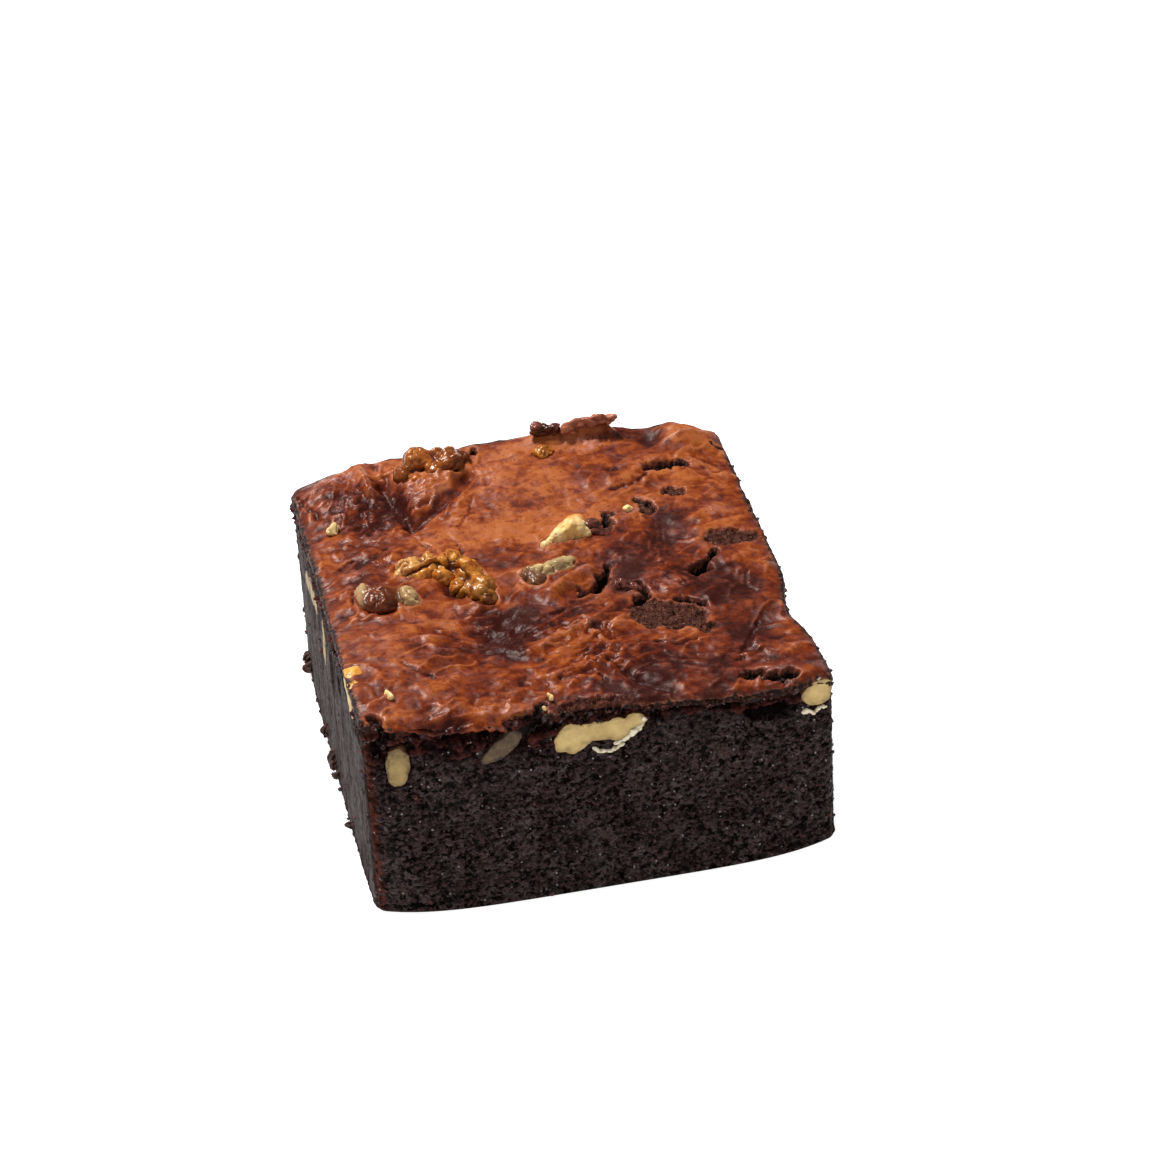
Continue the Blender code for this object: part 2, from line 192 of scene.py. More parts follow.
# %% Places of the broad shapes
# x, y, half-length, half-width, rise, and a turn in degrees where there is one
SWELLS = (
    (-14.5, 31.0, 8.0, 5.0, 1.7, 75), (-31.5, 33.0, 5.0, 5.5, 1.3), (-24.0, 23.5, 6.0, 3.8, -1.4, 80),
    (1.0, 27.0, 12.0, 10.0, 0.7), (31.0, 35.5, 4.5, 4.0, 1.7), (25.0, 37.5, 2.8, 3.0, -1.2),
    (-28.5, -4.0, 6.0, 6.0, 1.0), (-16.2, -2.2, 3.0, 2.6, -1.3, 60), (-13.5, -16.0, 7.5, 5.5, -1.7, 25),
    (-12.5, -24.5, 4.0, 1.8, -0.8), (-27.5, -20.0, 9.0, 10.0, 0.8), (15.5, -3.5, 6.0, 5.0, 0.9),
    (20.5, 8.5, 3.6, 6.5, -1.2), (31.5, -3.5, 4.0, 5.0, 0.8), (28.0, -21.5, 5.0, 3.8, -0.9, 20),
    (31.0, -28.5, 6.0, 4.5, 0.6), (34.0, -36.5, 4.5, 4.0, 1.5), (-23.0, -39.5, 14.0, 4.0, -1.3),
    (7.0, 20.0, 6.0, 5.0, -0.5), (2.5, 38.6, 9.0, 4.0, 0.9), (29.0, 39.0, 6.0, 4.0, 0.8),
)
# half-width, rise, then the points of the line
FOLDS = (
    (1.3, -1.5, ((-22.5, 33.0), (-21.0, 26.0), (-19.5, 18.8))),
    (1.3, -1.2, ((-7.8, 31.0), (-12.0, 25.5), (-16.5, 20.8), (-19.5, 18.8))),
    (1.2, 1.3, ((-25.5, 39.0), (-25.0, 30.5))),
    (2.2, 1.0, ((6.6, 39.0), (9.0, 38.8))),
    (1.3, 2.2, ((11.2, 38.9), (14.5, 39.2), (18.0, 39.2))),
    (1.5, 0.5, ((30.0, 29.5), (23.0, 29.8), (18.0, 25.5), (12.5, 24.5))),
    (1.5, 1.4, ((-1.5, -7.8), (2.0, -4.8), (5.8, -2.4))),
    (0.9, 0.9, ((-8.0, -23.4), (-3.5, -20.6), (0.5, -18.6), (5.0, -16.2))),
    (0.8, 0.8, ((-5.5, -31.0), (0.0, -28.9), (3.5, -26.7))),
    (1.0, -0.8, ((5.5, -30.0), (8.0, -34.0), (12.0, -37.0))),
    (1.0, 0.6, ((31.5, 27.5), (34.0, 25.0), (37.0, 23.5))),
)
# half-width, depth, then the points along the middle of the hole
TEARS = (
    (0.80, 2.4, ((3.8, -8.0), (6.0, -7.4), (7.8, -5.0))),
    (0.50, 1.7, ((7.8, -5.0), (9.0, -3.2), (9.8, -1.2))),
    (0.50, 1.9, ((13.2, -8.2), (14.0, -10.4), (12.2, -11.6))),
    (0.40, 1.6, ((18.8, -11.8), (20.6, -13.0), (22.2, -14.4))),
    (1.05, 2.6, ((23.2, -4.8), (25.0, -4.0))),
    (0.45, 1.6, ((25.4, -3.2), (26.8, -1.6), (28.2, 0.6))),
    (0.85, 2.6, ((22.8, 27.2), (24.6, 27.6), (26.2, 27.6))),
    (0.35, 1.5, ((26.0, 27.7), (29.2, 28.0))),
    (0.32, 0.6, ((16.3, 28.0), (17.6, 28.2))),
    (0.40, 1.6, ((-5.3, 38.8), (-5.6, 37.4))),
    (0.40, 1.4, ((11.8, 12.2), (13.0, 14.4))),
    (0.45, 1.0, ((18.8, 17.6), (20.0, 17.0))),
    (0.90, 2.2, ((24.2, -35.0), (26.6, -34.8))),
    (0.80, 2.2, ((27.6, -36.2), (31.2, -37.2))),
    (0.20, 0.8, ((35.6, 33.6), (36.4, 32.8), (37.2, 33.2))),
    (0.80, 2.0, ((-14.6, -40.1), (-10.2, -39.3))),
    (0.45, 1.2, ((-10.2, -39.0), (-8.6, -37.4))),
    (0.90, 2.4, ((-35.2, -37.6), (-34.6, -40.5))),
    (0.60, 1.6, ((4.0, -40.8), (9.0, -40.9))),
    (0.35, 0.9, ((-16.8, 2.2), (-16.0, -1.2), (-15.4, -4.0))),
)
print(len(SWELLS), "swells,", len(FOLDS), "folds and", len(TEARS), "torn holes")

# %% [markdown]
# ## Where the walnuts lie
# The frame holds a solid for every nut. The same rows are repeated here, because the crust has to make
# room for each nut before the nut itself is modelled. A nut in the crust is a chain of lobes. A nut in a
# wall was sliced by the knife, so its lobes are given along the wall.

# %% Rows of the walnuts
# x, y, height of the middle over the crust, three half sizes, turn in degrees
CRUST_NUTS = {
    "walnut_half": (
        (-22.3, 4.6, 0.3, 2.9, 2.6, 2.3, 0),
        (-18.9, 5.0, 0.7, 1.9, 2.5, 2.1, 0),
        (-16.3, 4.8, 0.9, 1.6, 3.1, 2.2, -25),
        (-13.3, 1.4, 1.0, 2.2, 3.4, 2.3, 25),
        (-11.9, -3.4, 0.6, 2.1, 2.6, 2.2, 0),
        (-12.0, -6.6, 0.2, 2.0, 2.0, 2.1, 0),
    ),
    "walnut_chip": (
        (1.3, 7.8, 0.2, 1.8, 0.9, 0.9, 40),
        (3.6, 9.0, 0.6, 2.0, 1.5, 1.6, 35),
        (6.0, 9.8, 1.0, 2.5, 2.0, 2.3, 15),
        (6.6, 11.6, 0.7, 2.2, 1.8, 2.0, 60),
    ),
    "walnut_middle": (
        (1.9, 0.6, 0.3, 2.6, 1.7, 1.5, 25),
        (-1.2, -0.4, 0.4, 2.2, 1.2, 1.4, -35),
        (-3.0, -2.2, 0.1, 1.8, 2.4, 1.5, 15),
    ),
    "walnut_left": (
        (-28.9, -4.8, 0.3, 3.2, 3.9, 2.1, 0),
        (-24.5, -5.0, 0.4, 1.9, 2.3, 1.8, 0),
        (-31.2, -2.6, 0.3, 1.1, 3.3, 1.7, -12),
    ),
    "walnut_back": (
        (-18.6, 33.4, 0.4, 1.7, 2.6, 2.0, 0),
        (-15.6, 35.6, 1.0, 2.9, 2.9, 2.7, 0),
        (-10.4, 34.6, 0.8, 2.5, 3.3, 2.5, -15),
    ),
}
# place along the wall, height, half-length, half-height, turn in degrees
WALL_NUTS = {
    "walnut_front_left": ("front", ((-32.2, 27.4, 2.2, 3.7, 4),)),
    "walnut_front_sunk": ("front", ((-16.2, 28.0, 3.6, 1.7, -32),)),
    "walnut_front_middle": ("front", (
        (-4.9, 27.8, 3.0, 3.0, 0),
        (-1.2, 28.5, 2.2, 1.9, 0),
        (2.2, 28.3, 2.6, 2.3, 0),
        (5.1, 28.9, 2.0, 2.0, -25),
    )),
    "walnut_front_right": ("front", ((34.6, 28.3, 2.9, 2.5, 0),)),
    "walnut_left_rear": ("left", (
        (22.3, 25.0, 3.4, 2.0, -10), (17.4, 26.0, 3.3, 2.4, 0), (12.8, 26.6, 3.0, 1.9, 0),
    )),
    "walnut_left_middle": ("left", ((3.2, 26.6, 1.9, 2.6, 0), (4.2, 22.4, 1.8, 3.4, 10))),
    "walnut_left_rim": ("left", ((-23.8, 34.0, 2.6, 2.2, 0), (-27.6, 33.0, 3.2, 2.9, 15))),
    "walnut_right_side": ("right", ((9.5, 21.0, 3.2, 2.6, 0), (13.2, 22.3, 2.4, 2.0, 0))),
    "walnut_back_side": ("back", ((17.5, 24.5, 3.4, 2.5, 20), (13.4, 23.0, 2.2, 2.1, 0))),
}
CUT_NUT_INSET, CUT_NUT_DEPTH = 1.3, 2.8
print(len(CRUST_NUTS), "nuts lie in the crust and", len(WALL_NUTS), "in the cut walls")

# %% [markdown]
# ## The fine relief of the skin
# The sugar skin is thin, so it gathers into small wrinkles where it sank, splits into narrow creases,
# and shows bare crumb where it flaked away. Each wrinkled zone has its own direction and spacing. The
# wrinkles are a sharp-topped wave, bent by noise, and they fade out round the middle of their zone.

# %% Places of the fine relief
# x, y, half-length, half-width, turn of the zone, direction of the wrinkles, spacing, rise
WRINKLES = (
    (-1.0, -19.0, 9.0, 4.8, 30, 33, 1.9, 0.85), (3.0, -26.0, 9.0, 3.8, 10, 18, 2.0, 0.60),
    (18.2, 4.0, 3.0, 8.0, 0, 76, 1.6, 0.42), (-26.5, 30.0, 7.0, 9.0, 0, 72, 3.6, 0.90),
    (-14.0, 28.0, 5.5, 8.0, 0, 58, 2.8, 0.80), (-23.5, 20.0, 8.0, 4.0, 0, 50, 2.4, 0.60),
    (31.5, 12.5, 4.0, 4.0, 0, -50, 1.8, 0.30), (-14.5, -18.0, 7.0, 5.5, 0, 42, 3.1, 0.50),
    (30.5, -3.0, 4.0, 6.0, 0, 60, 2.4, 0.35), (-29.5, 9.0, 6.0, 5.5, 0, 55, 2.6, 0.32),
    (15.0, -30.0, 14.0, 5.5, 0, -20, 2.6, 0.34), (33.0, 26.0, 4.0, 5.0, 0, -45, 1.8, 0.30),
    (-10.0, -32.5, 12.0, 4.5, 0, 8, 3.0, 0.26), (8.0, 2.0, 6.0, 5.0, 0, 62, 2.1, 0.30),
    (19.5, -8.5, 4.0, 3.0, 0, -30, 1.9, 0.34), (-5.0, 28.0, 2.2, 9.0, 0, 86, 3.4, 0.40),
    (-31.0, -30.0, 5.0, 5.0, 0, 80, 2.4, 0.30), (-17.0, -37.0, 13.0, 3.0, 0, 5, 1.8, 0.35),
    (14.5, 38.0, 6.0, 2.4, 0, 70, 2.7, 0.60), (7.6, 38.0, 2.2, 2.0, 0, 20, 1.3, 0.60),
    (-0.5, -37.6, 7.5, 2.8, 0, 36, 2.3, 0.45), (18.0, -37.0, 9.0, 2.6, 0, -24, 2.4, 0.30),
)
# half-width, depth, then the points of the line
CREASES = (
    (0.35, 0.9, ((-33.4, 8.6), (-31.0, 10.6))),
    (0.30, 0.6, ((-26.0, 12.0), (-24.4, 13.0))),
    (0.35, 0.8, ((-19.6, 12.9), (-18.2, 11.1))),
    (0.30, 0.7, ((-13.3, 10.6), (-13.1, 7.4))),
    (0.35, 0.8, ((12.0, -23.4), (15.5, -24.6), (19.2, -23.9))),
    (0.30, 0.8, ((1.4, -31.4), (2.7, -34.2))),
    (0.30, 0.9, ((-5.0, -31.4), (1.8, -27.9), (3.7, -26.4), (5.1, -29.3), (7.8, -33.6))),
    (0.35, 0.9, ((-37.2, 37.2), (-36.0, 31.0), (-34.2, 26.2))),
    (0.30, 0.7, ((31.0, 27.4), (33.6, 25.2), (36.6, 24.8))),
    (0.45, 1.0, ((-22.6, 38.6), (-21.6, 35.0))),
    (0.35, 0.8, ((-32.6, -0.2), (-33.2, -4.2))),
    (0.40, 0.9, ((-28.2, -23.9), (-25.8, -26.4), (-24.2, -28.1))),
    (0.40, 0.8, ((29.8, -19.6), (27.4, -25.4), (24.2, -30.6))),
    (0.30, 0.6, ((-3.4, -13.2), (2.0, -11.6), (6.4, -12.2))),
    (0.30, 0.6, ((31.8, -6.2), (30.6, -9.6), (32.0, -12.0))),
    (0.30, 0.5, ((-12.4, 16.0), (-9.8, 19.4), (-8.4, 23.8))),
    (0.35, 0.8, ((22.6, 26.2), (21.0, 24.2), (18.0, 22.6), (15.0, 21.9))),
)
# x, y, half-length, half-width, turn: where bare crumb shows through the skin
BARE_PATCHES = (
    (16.2, -16.6, 6.6, 3.9, -14), (21.6, -20.4, 2.6, 1.1, 0), (12.6, -12.6, 2.6, 1.2, 20),
    (31.6, 4.6, 5.0, 2.6, 0), (25.4, 19.6, 2.0, 1.4, -30), (19.6, 15.6, 1.5, 2.0, 0),
    (12.0, 11.6, 1.2, 2.0, -30), (-1.0, -38.4, 6.4, 1.3, 0),
)
# x, y, half sizes, turn, tint: small bits of nut stuck to the skin
NUT_BITS = (
    (-32.8, 21.6, 1.7, 1.1, 0.8, 70, 0.85), (5.8, 35.0, 1.9, 1.8, 1.0, 0, -0.02),
    (-31.9, -32.2, 0.8, 1.6, 0.8, 0, 0.35), (16.5, 15.4, 0.9, 0.8, 0.7, 0, 0.20),
    (-7.2, -35.9, 0.45, 0.75, 0.6, -10, 0.7), (-8.7, -38.1, 0.35, 0.5, 0.5, 0, 0.7),
)
# lobes of dark glossy lumps of crumb: x, y, lift, half sizes, turn
CRUMB_LUMPS = (
    ((9.2, 10.6, 0.2, 1.5, 1.7, 1.5, 0), (10.2, 9.6, 0.0, 1.0, 1.2, 1.1, 0)),
    ((10.2, -7.4, -0.2, 1.9, 1.5, 1.4, -15), (12.2, -8.2, -0.3, 1.3, 1.2, 1.1, -20)),
    ((6.2, 38.8, 1.2, 1.9, 1.2, 1.3, 10), (8.6, 38.8, 1.1, 1.3, 1.1, 1.1, 0)),
)
# the crust flake that curls up at the back rim, in the same terms
CURLED_FLAKE = (
    (11.0, 38.2, 0.1, 1.4, 1.0, 1.3, 20), (12.8, 38.8, 0.4, 1.7, 0.9, 1.2, 0),
    (15.0, 39.0, 0.6, 1.9, 0.9, 1.1, 0), (17.0, 39.2, 1.0, 1.7, 0.9, 1.0, 0),
    (18.8, 39.2, 1.4, 1.4, 0.9, 0.9, 0),
)
print(len(WRINKLES), "wrinkled zones,", len(CREASES), "creases and", len(BARE_PATCHES), "bare patches")

# %% [markdown]
# ## Colour and gloss by place
# Where the skin stayed high it baked to a light orange brown, and where it sank it stayed dark, purple
# and shiny. So two more maps are drawn the same way as the swells: tone, from dark to light, and gloss.
# They are kept on the mesh as attributes, and the material reads them.

# %% Maps of tone and gloss
# x, y, half-length, half-width, amount, and a turn in degrees where there is one
# Most spots are the skin's own bake colour. The light spots on the front of the back fold, near x = 12 to
# 15 and y = 37, paint light onto a slope that faces away from the lamp, and the light spots near (-16, -15)
# and (-16, -18) are painted highlights.
TONES = (
    (2.0, 26.0, 13.0, 15.0, 0.36), (-27.0, -19.0, 9.0, 10.0, 0.22), (-20.0, -32.0, 14.0, 4.5, 0.10),
    (31.0, 34.0, 7.0, 5.0, 0.18), (28.0, 23.0, 8.0, 4.5, 0.22), (-34.0, 13.0, 3.5, 9.0, 0.14),
    (-8.0, 12.0, 9.0, 4.0, 0.22), (33.0, -1.0, 4.0, 3.5, 0.16), (-13.5, -16.5, 8.0, 6.0, -0.62, 25),
    (-3.0, -13.0, 9.0, 3.5, -0.34), (1.0, -21.0, 7.0, 4.0, -0.18, 30), (-25.5, 25.0, 5.5, 7.5, -0.52),
    (-20.5, 30.0, 2.6, 8.0, -0.28), (-12.0, 26.0, 2.4, 7.0, -0.28, -40), (-32.0, 34.0, 4.0, 5.5, -0.42),
    (0.5, 22.0, 3.6, 2.6, -0.22), (-6.5, 5.0, 5.0, 3.0, -0.38), (-16.5, -2.0, 2.4, 3.4, -0.45),
    (18.5, 6.0, 5.0, 9.0, -0.34), (12.0, 1.0, 5.0, 5.0, -0.26), (24.5, 11.0, 3.6, 4.6, -0.26),
    (13.0, 31.0, 8.0, 5.0, -0.12), (25.0, -10.0, 8.0, 8.0, -0.24), (31.0, -15.0, 6.0, 9.0, -0.16),
    (8.0, -28.0, 9.0, 3.6, -0.14), (14.0, -34.5, 16.0, 3.6, -0.34), (30.0, -34.5, 9.0, 3.0, -0.38),
    (-1.0, -37.6, 8.0, 2.6, -0.36), (-21.5, -39.0, 6.0, 1.8, -0.40), (-29.5, -4.5, 5.0, 5.5, -0.26),
    (-30.5, 7.5, 4.0, 4.5, -0.28), (25.0, 37.5, 3.0, 2.6, -0.30), (14.0, 39.0, 8.0, 1.6, -0.28),
    (27.5, -22.0, 4.5, 3.6, -0.20, 20), (9.5, -8.0, 3.0, 3.0, -0.30), (14.5, 36.6, 6.0, 1.8, 0.30),
    (4.0, 8.0, 8.0, 6.0, 0.14), (-20.0, -31.0, 9.0, 4.0, 0.16), (-3.0, 14.0, 8.0, 6.0, 0.16),
    (-20.0, 14.0, 8.0, 5.0, 0.12), (12.3, -3.5, 4.6, 5.0, -0.32), (26.4, -7.5, 5.0, 5.0, -0.36),
    (27.6, -26.4, 4.0, 4.0, -0.22), (10.0, -30.2, 4.0, 4.0, -0.24), (5.6, -36.5, 4.5, 3.0, -0.24),
    (18.9, -28.7, 5.0, 4.0, -0.14), (-10.6, -20.4, 3.2, 2.6, -0.30), (-25.2, -23.9, 6.0, 5.0, -0.12),
    (-18.7, -29.4, 5.0, 3.0, -0.12), (-31.2, -1.2, 3.0, 4.0, -0.16), (22.9, 12.0, 3.0, 3.0, -0.20),
    (-28.5, 37.0, 3.6, 3.6, 0.30), (-22.5, 37.0, 3.0, 4.0, 0.30), (-9.0, 36.5, 2.4, 3.2, 0.42),
    (-13.0, 30.4, 3.2, 4.0, 0.36), (-18.1, -13.4, 3.2, 2.4, 0.34), (-18.5, -4.5, 2.2, 3.2, 0.32),
    (-2.0, -25.0, 4.6, 3.0, 0.24, 20), (-29.0, -37.5, 5.0, 1.6, 0.20), (-16.0, -37.5, 5.0, 1.4, 0.22),
    (34.0, 13.7, 2.6, 4.0, 0.24), (35.0, 32.4, 3.0, 4.0, 0.16), (12.0, 36.5, 5.0, 2.4, 0.24),
    (17.8, 12.2, 3.0, 2.6, 0.20), (10.4, 15.4, 3.0, 2.0, 0.14), (14.0, -39.2, 9.0, 2.0, -0.34),
    (28.5, -39.6, 5.0, 1.6, -0.38), (-17.5, -11.8, 3.2, 2.8, 0.46), (-15.6, -18.2, 2.8, 2.2, 0.56),
    (-37.0, -11.4, 1.8, 4.0, 0.14), (14.0, 37.0, 4.0, 2.4, 0.24), (31.0, 8.4, 2.4, 2.0, 0.16),
    (12.0, -6.0, 4.0, 3.4, -0.46), (26.4, -2.8, 2.8, 2.2, -0.42), (24.2, -13.4, 4.0, 3.0, -0.36),
    (27.5, -27.0, 3.4, 4.0, -0.54), (-10.2, -21.2, 2.8, 2.8, -0.50), (-18.3, 16.9, 3.0, 3.0, -0.24),
    (-19.4, -33.0, 9.0, 4.0, -0.34), (6.5, -37.5, 4.0, 2.4, -0.30), (-3.0, 39.5, 4.0, 2.0, -0.22),
    (9.8, -32.4, 3.2, 2.8, -0.38), (2.4, 6.0, 3.0, 1.6, -0.22), (-20.6, -2.2, 2.4, 2.0, 0.28),
    (-15.0, 28.8, 2.6, 2.6, 0.20), (18.9, -28.4, 3.4, 3.0, -0.18), (11.5, 25.3, 3.0, 4.0, -0.34),
    (-22.3, 38.6, 4.0, 3.0, 0.22), (36.0, 29.0, 2.6, 6.0, 0.16), (36.5, 15.8, 2.2, 5.0, 0.18),
    (-5.8, -26.2, 4.0, 3.0, 0.20), (2.5, -27.6, 4.0, 3.0, 0.18), (-18.0, -38.6, 5.0, 1.6, 0.36),
    (35.0, -29.0, 2.4, 4.0, 0.22), (-37.0, -36.7, 2.4, 2.4, -0.36), (-16.2, -15.4, 2.6, 2.0, 0.36),
    (-28.0, 37.0, 3.6, 3.0, 0.26), (-14.0, 29.6, 3.0, 3.6, 0.34), (-8.4, 37.4, 2.0, 2.0, 0.40),
    (16.9, 9.6, 2.6, 3.4, 0.28), (-4.6, -34.2, 5.0, 2.0, 0.20), (0.7, -20.7, 5.0, 3.0, 0.20, 25),
    (35.5, -9.5, 2.4, 4.0, 0.24), (24.0, -37.6, 4.0, 1.6, 0.26), (8.0, 36.6, 4.0, 2.2, 0.24),
)
GLOSSES = (
    (-13.5, -17.5, 9.0, 7.0, 0.60), (0.0, -20.5, 9.0, 5.5, 0.50), (5.0, -27.0, 9.0, 3.6, 0.40),
    (-26.0, 24.0, 7.0, 8.0, 0.55), (-16.0, 29.0, 6.0, 8.0, 0.50), (-31.0, 34.0, 5.0, 5.0, 0.40),
    (18.0, 4.0, 4.0, 9.0, 0.15), (-12.0, -32.5, 9.0, 3.6, 0.40), (31.0, 12.0, 5.0, 4.0, 0.35),
    (20.0, -8.0, 4.5, 3.6, 0.45), (30.0, -30.0, 6.0, 4.0, 0.35), (-29.0, 8.0, 6.0, 6.0, 0.30),
    (-21.0, -39.0, 8.0, 3.0, 0.50), (-29.0, -4.0, 5.0, 5.0, 0.35), (2.0, 24.0, 12.0, 12.0, -0.22),
    (-28.0, -19.0, 6.0, 6.0, -0.15),
)
# the pale pink film on some of the skin, laid on more thickly where it stands for a painted highlight on a
# ridge or a rolled edge, in the same terms
PINK_FILM_AND_HIGHLIGHT_SPOTS = (
    (-4.6, 28.5, 1.6, 5.5, 0.55, -4), (-17.4, 28.6, 1.5, 1.8, 0.60), (-31.5, 7.0, 2.2, 2.6, 0.30),
    (-26.5, 17.2, 1.8, 1.2, 0.50), (-30.0, 28.0, 2.0, 2.0, 0.35), (-24.5, 37.0, 1.0, 3.0, 0.35),
    (4.6, -2.2, 2.6, 0.9, 0.75, 25), (1.0, -4.6, 3.0, 0.8, 0.50, 38), (-9.0, -2.0, 1.2, 2.0, 0.40),
    (-28.0, -11.0, 4.0, 1.0, 0.45), (-17.0, -9.0, 1.6, 1.2, 0.45), (16.0, 14.5, 3.6, 1.8, 0.35, 20),
    (13.6, 22.6, 3.0, 1.6, 0.25), (31.5, 13.0, 2.6, 2.0, 0.40), (19.0, -8.0, 1.8, 1.4, 0.55),
    (31.4, -9.4, 0.7, 2.4, 0.40, 20), (7.2, 31.4, 1.0, 1.6, 0.30), (18.8, 31.6, 1.0, 2.2, 0.30, 20),
    (-20.0, -28.2, 2.0, 0.9, 0.50), (-34.5, -18.6, 1.6, 2.0, 0.30), (29.0, -30.6, 2.0, 1.1, 0.35),
    (-12.8, -33.0, 1.2, 0.9, 0.45), (14.0, 36.4, 4.0, 1.6, 0.85), (-14.9, -18.6, 2.4, 1.6, 0.45),
    (-12.7, -22.8, 2.2, 0.9, 0.25), (-2.4, -19.6, 3.6, 1.3, 0.40, 25), (3.2, -16.5, 3.0, 0.9, 0.35, 20),
    (-34.0, 32.0, 2.0, 2.4, 0.40), (-30.2, 37.0, 2.4, 1.2, 0.35), (-17.0, -37.4, 4.0, 0.9, 0.50),
    (-29.0, -37.8, 3.0, 0.8, 0.35), (-19.5, -12.0, 1.8, 1.6, 0.45), (-14.5, 25.5, 1.6, 2.0, 0.40),
    (-29.0, 36.4, 3.6, 2.6, 0.45), (-22.0, 39.4, 3.0, 2.0, 0.40), (-15.0, 29.4, 2.4, 2.4, 0.40),
    (-8.0, 37.6, 1.4, 2.0, 0.50), (1.5, -37.4, 4.0, 1.2, 0.55), (24.0, -40.2, 5.0, 0.9, 0.45),
    (12.0, -38.6, 5.0, 0.9, 0.35),
)
BASE_TONE, BASE_GLOSS = 0.56, 0.44


def mapped(x, y, base, spots):
    """A map that starts at a base value and gains or loses round each spot."""
    total = np.full(np.shape(x), base)
    sx = x + 1.3 * lumpy(x / 4.5, y / 4.5, 2.0, seed=61)
    sy = y + 1.3 * lumpy(x / 4.5, y / 4.5, 6.0, seed=62)
    for spot in spots:
        total += mound(sx, sy, *spot)
    return total


print(len(TONES), "places of tone and", len(GLOSSES), "of gloss")

# %% [markdown]
# ## The height of the finished crust
# The solid of the frame has the broad shapes only. The crust adds all that is finer: wrinkled zones, thin
# plates with gaps between them, folds of the glossy film, creases, torn holes and a pocket round each nut.
# Lines and rings are drawn at places that noise has shifted, so they come out ragged, as a tear does.

# %% The height of the finished crust
FAR_AWAY = 9.0
NUT_POCKET, NUT_LIP = 1.3, 0.30
BARE_ROUGHNESS = 1.7


def broad_height(x, y):
    """The crust with its broad shapes only, as the solid of the frame has it."""
    height = tray_height(x, y)
    for swell in SWELLS:
        height = height + mound(x, y, *swell)
    for half_width, rise, points in FOLDS:
        height = height + rise * np.exp(-((distance_to_line(x, y, points) / half_width) ** 2))
    return height


def ragged(x, y):
    """A place shifted a little, so that lines and rings drawn there come out torn and uneven."""
    return (
        x + 0.70 * lumpy(x / 2.2, y / 2.2, 4.0, seed=31) + 0.26 * soft_noise(x / 0.7, y / 0.7, seed=32),
        y + 0.70 * lumpy(x / 2.2, y / 2.2, 9.0, seed=33) + 0.26 * soft_noise(x / 0.7, y / 0.7, seed=34),
    )


def wrinkle_waves(x, y):
    """Gathered skin: sharp-topped waves inside each wrinkled zone."""
    total = np.zeros(np.shape(x))
    bend = lumpy(x / 5.0, y / 5.0, seed=41)
    for cx, cy, half_length, half_width, turn, direction, spacing, rise in WRINKLES:
        fade = mound(x, y, cx, cy, half_length, half_width, 1.0, turn)
        along, across = turned(x - cx, y - cy, direction)
        phase = across / spacing + 0.75 * bend + 0.25 * soft_noise(along / 3.0, across / 1.5, seed=42)
        wave = 1 - np.abs(2 * (phase - np.floor(phase)) - 1)
        thin = 2.3 * phase + 0.6 * soft_noise(along / 2.0, across / 0.8, seed=44)
        thin = 1 - np.abs(2 * (thin - np.floor(thin)) - 1)
        broken = 0.65 + 0.5 * soft_noise(along / 3.5, across / 2.0, seed=43)
        total += rise * fade * broken * (wave ** 1.8 - 0.3 + 0.30 * thin ** 2)
    return total


print("broad height at the middle:", round(float(broad_height(0.0, 0.0)), 1), "mm")


# %% Bare, torn and creased places
def bare_share(rx, ry):
    """1 where the skin has flaked off and bare crumb shows, at ragged places."""
    share = np.zeros(np.shape(rx))
    for cx, cy, half_length, half_width, turn in BARE_PATCHES:
        along, across = turned(rx - cx, ry - cy, turn)
        reach = np.hypot(along / half_length, across / half_width)
        share = np.maximum(share, 1 - smooth_step(0.85, 1.1, reach))
    return share


def torn_depth(rx, ry):
    """How deep the torn holes go at ragged places, and the share of it from 0 to 1."""
    depth, share = np.zeros(np.shape(rx)), np.zeros(np.shape(rx))
    for half_width, most, points in TEARS:
        rim = 1 - smooth_step(-0.1, 0.55, distance_to_line(rx, ry, points) - half_width)
        inner = distance_to_line(rx, ry - 0.25, points) - half_width
        core = 1 - smooth_step(-0.7 * half_width, 0.25, inner)
        depth = np.maximum(depth, most * (0.30 * rim + 0.70 * core))
        share = np.maximum(share, 0.12 * rim + 0.88 * core)
    return depth, share


def crease_depth(x, y, rx, ry):
    """How deep the narrow creases go. They are broken up along their length."""
    depth = np.zeros(np.shape(x))
    for half_width, most, points in CREASES:
        line = distance_to_line(0.7 * rx + 0.3 * x, 0.7 * ry + 0.3 * y, points)
        depth = np.maximum(depth, 0.75 * most * np.exp(-((line / (0.85 * half_width)) ** 2)))
    return depth * np.clip(0.75 + 0.9 * soft_noise(x / 1.7, y / 1.7, seed=57), 0, 1)


def nut_reach(x, y):
    """Below 1 inside the outline of a nut that lies in the crust, and more further out."""
    reach = np.full(np.shape(x), FAR_AWAY)
    for lobes in CRUST_NUTS.values():
        for cx, cy, _, half_x, half_y, _, turn in lobes:
            along, across = turned(x - cx, y - cy, turn)
            reach = np.minimum(reach, np.hypot(along / half_x, across / half_y))
    return reach


tear_sample, _ = torn_depth(np.array([5.0]), np.array([-7.7]))
print("the tear near the middle is", round(float(tear_sample[0]), 1), "mm deep")


# %% Plates, lumps and the whole relief
def skin_plates(x, y):
    """Thin plates of skin, each at its own height, with narrow gaps between them."""
    bend = 0.25 * soft_noise(x / 4, y / 4, seed=51)
    first, second, number = nearest_cell(x / 6.5 + bend, y / 5.5, seed=52)
    return 0.24 * (number - 0.5) * smooth_step(0.02, 0.10, second - first)


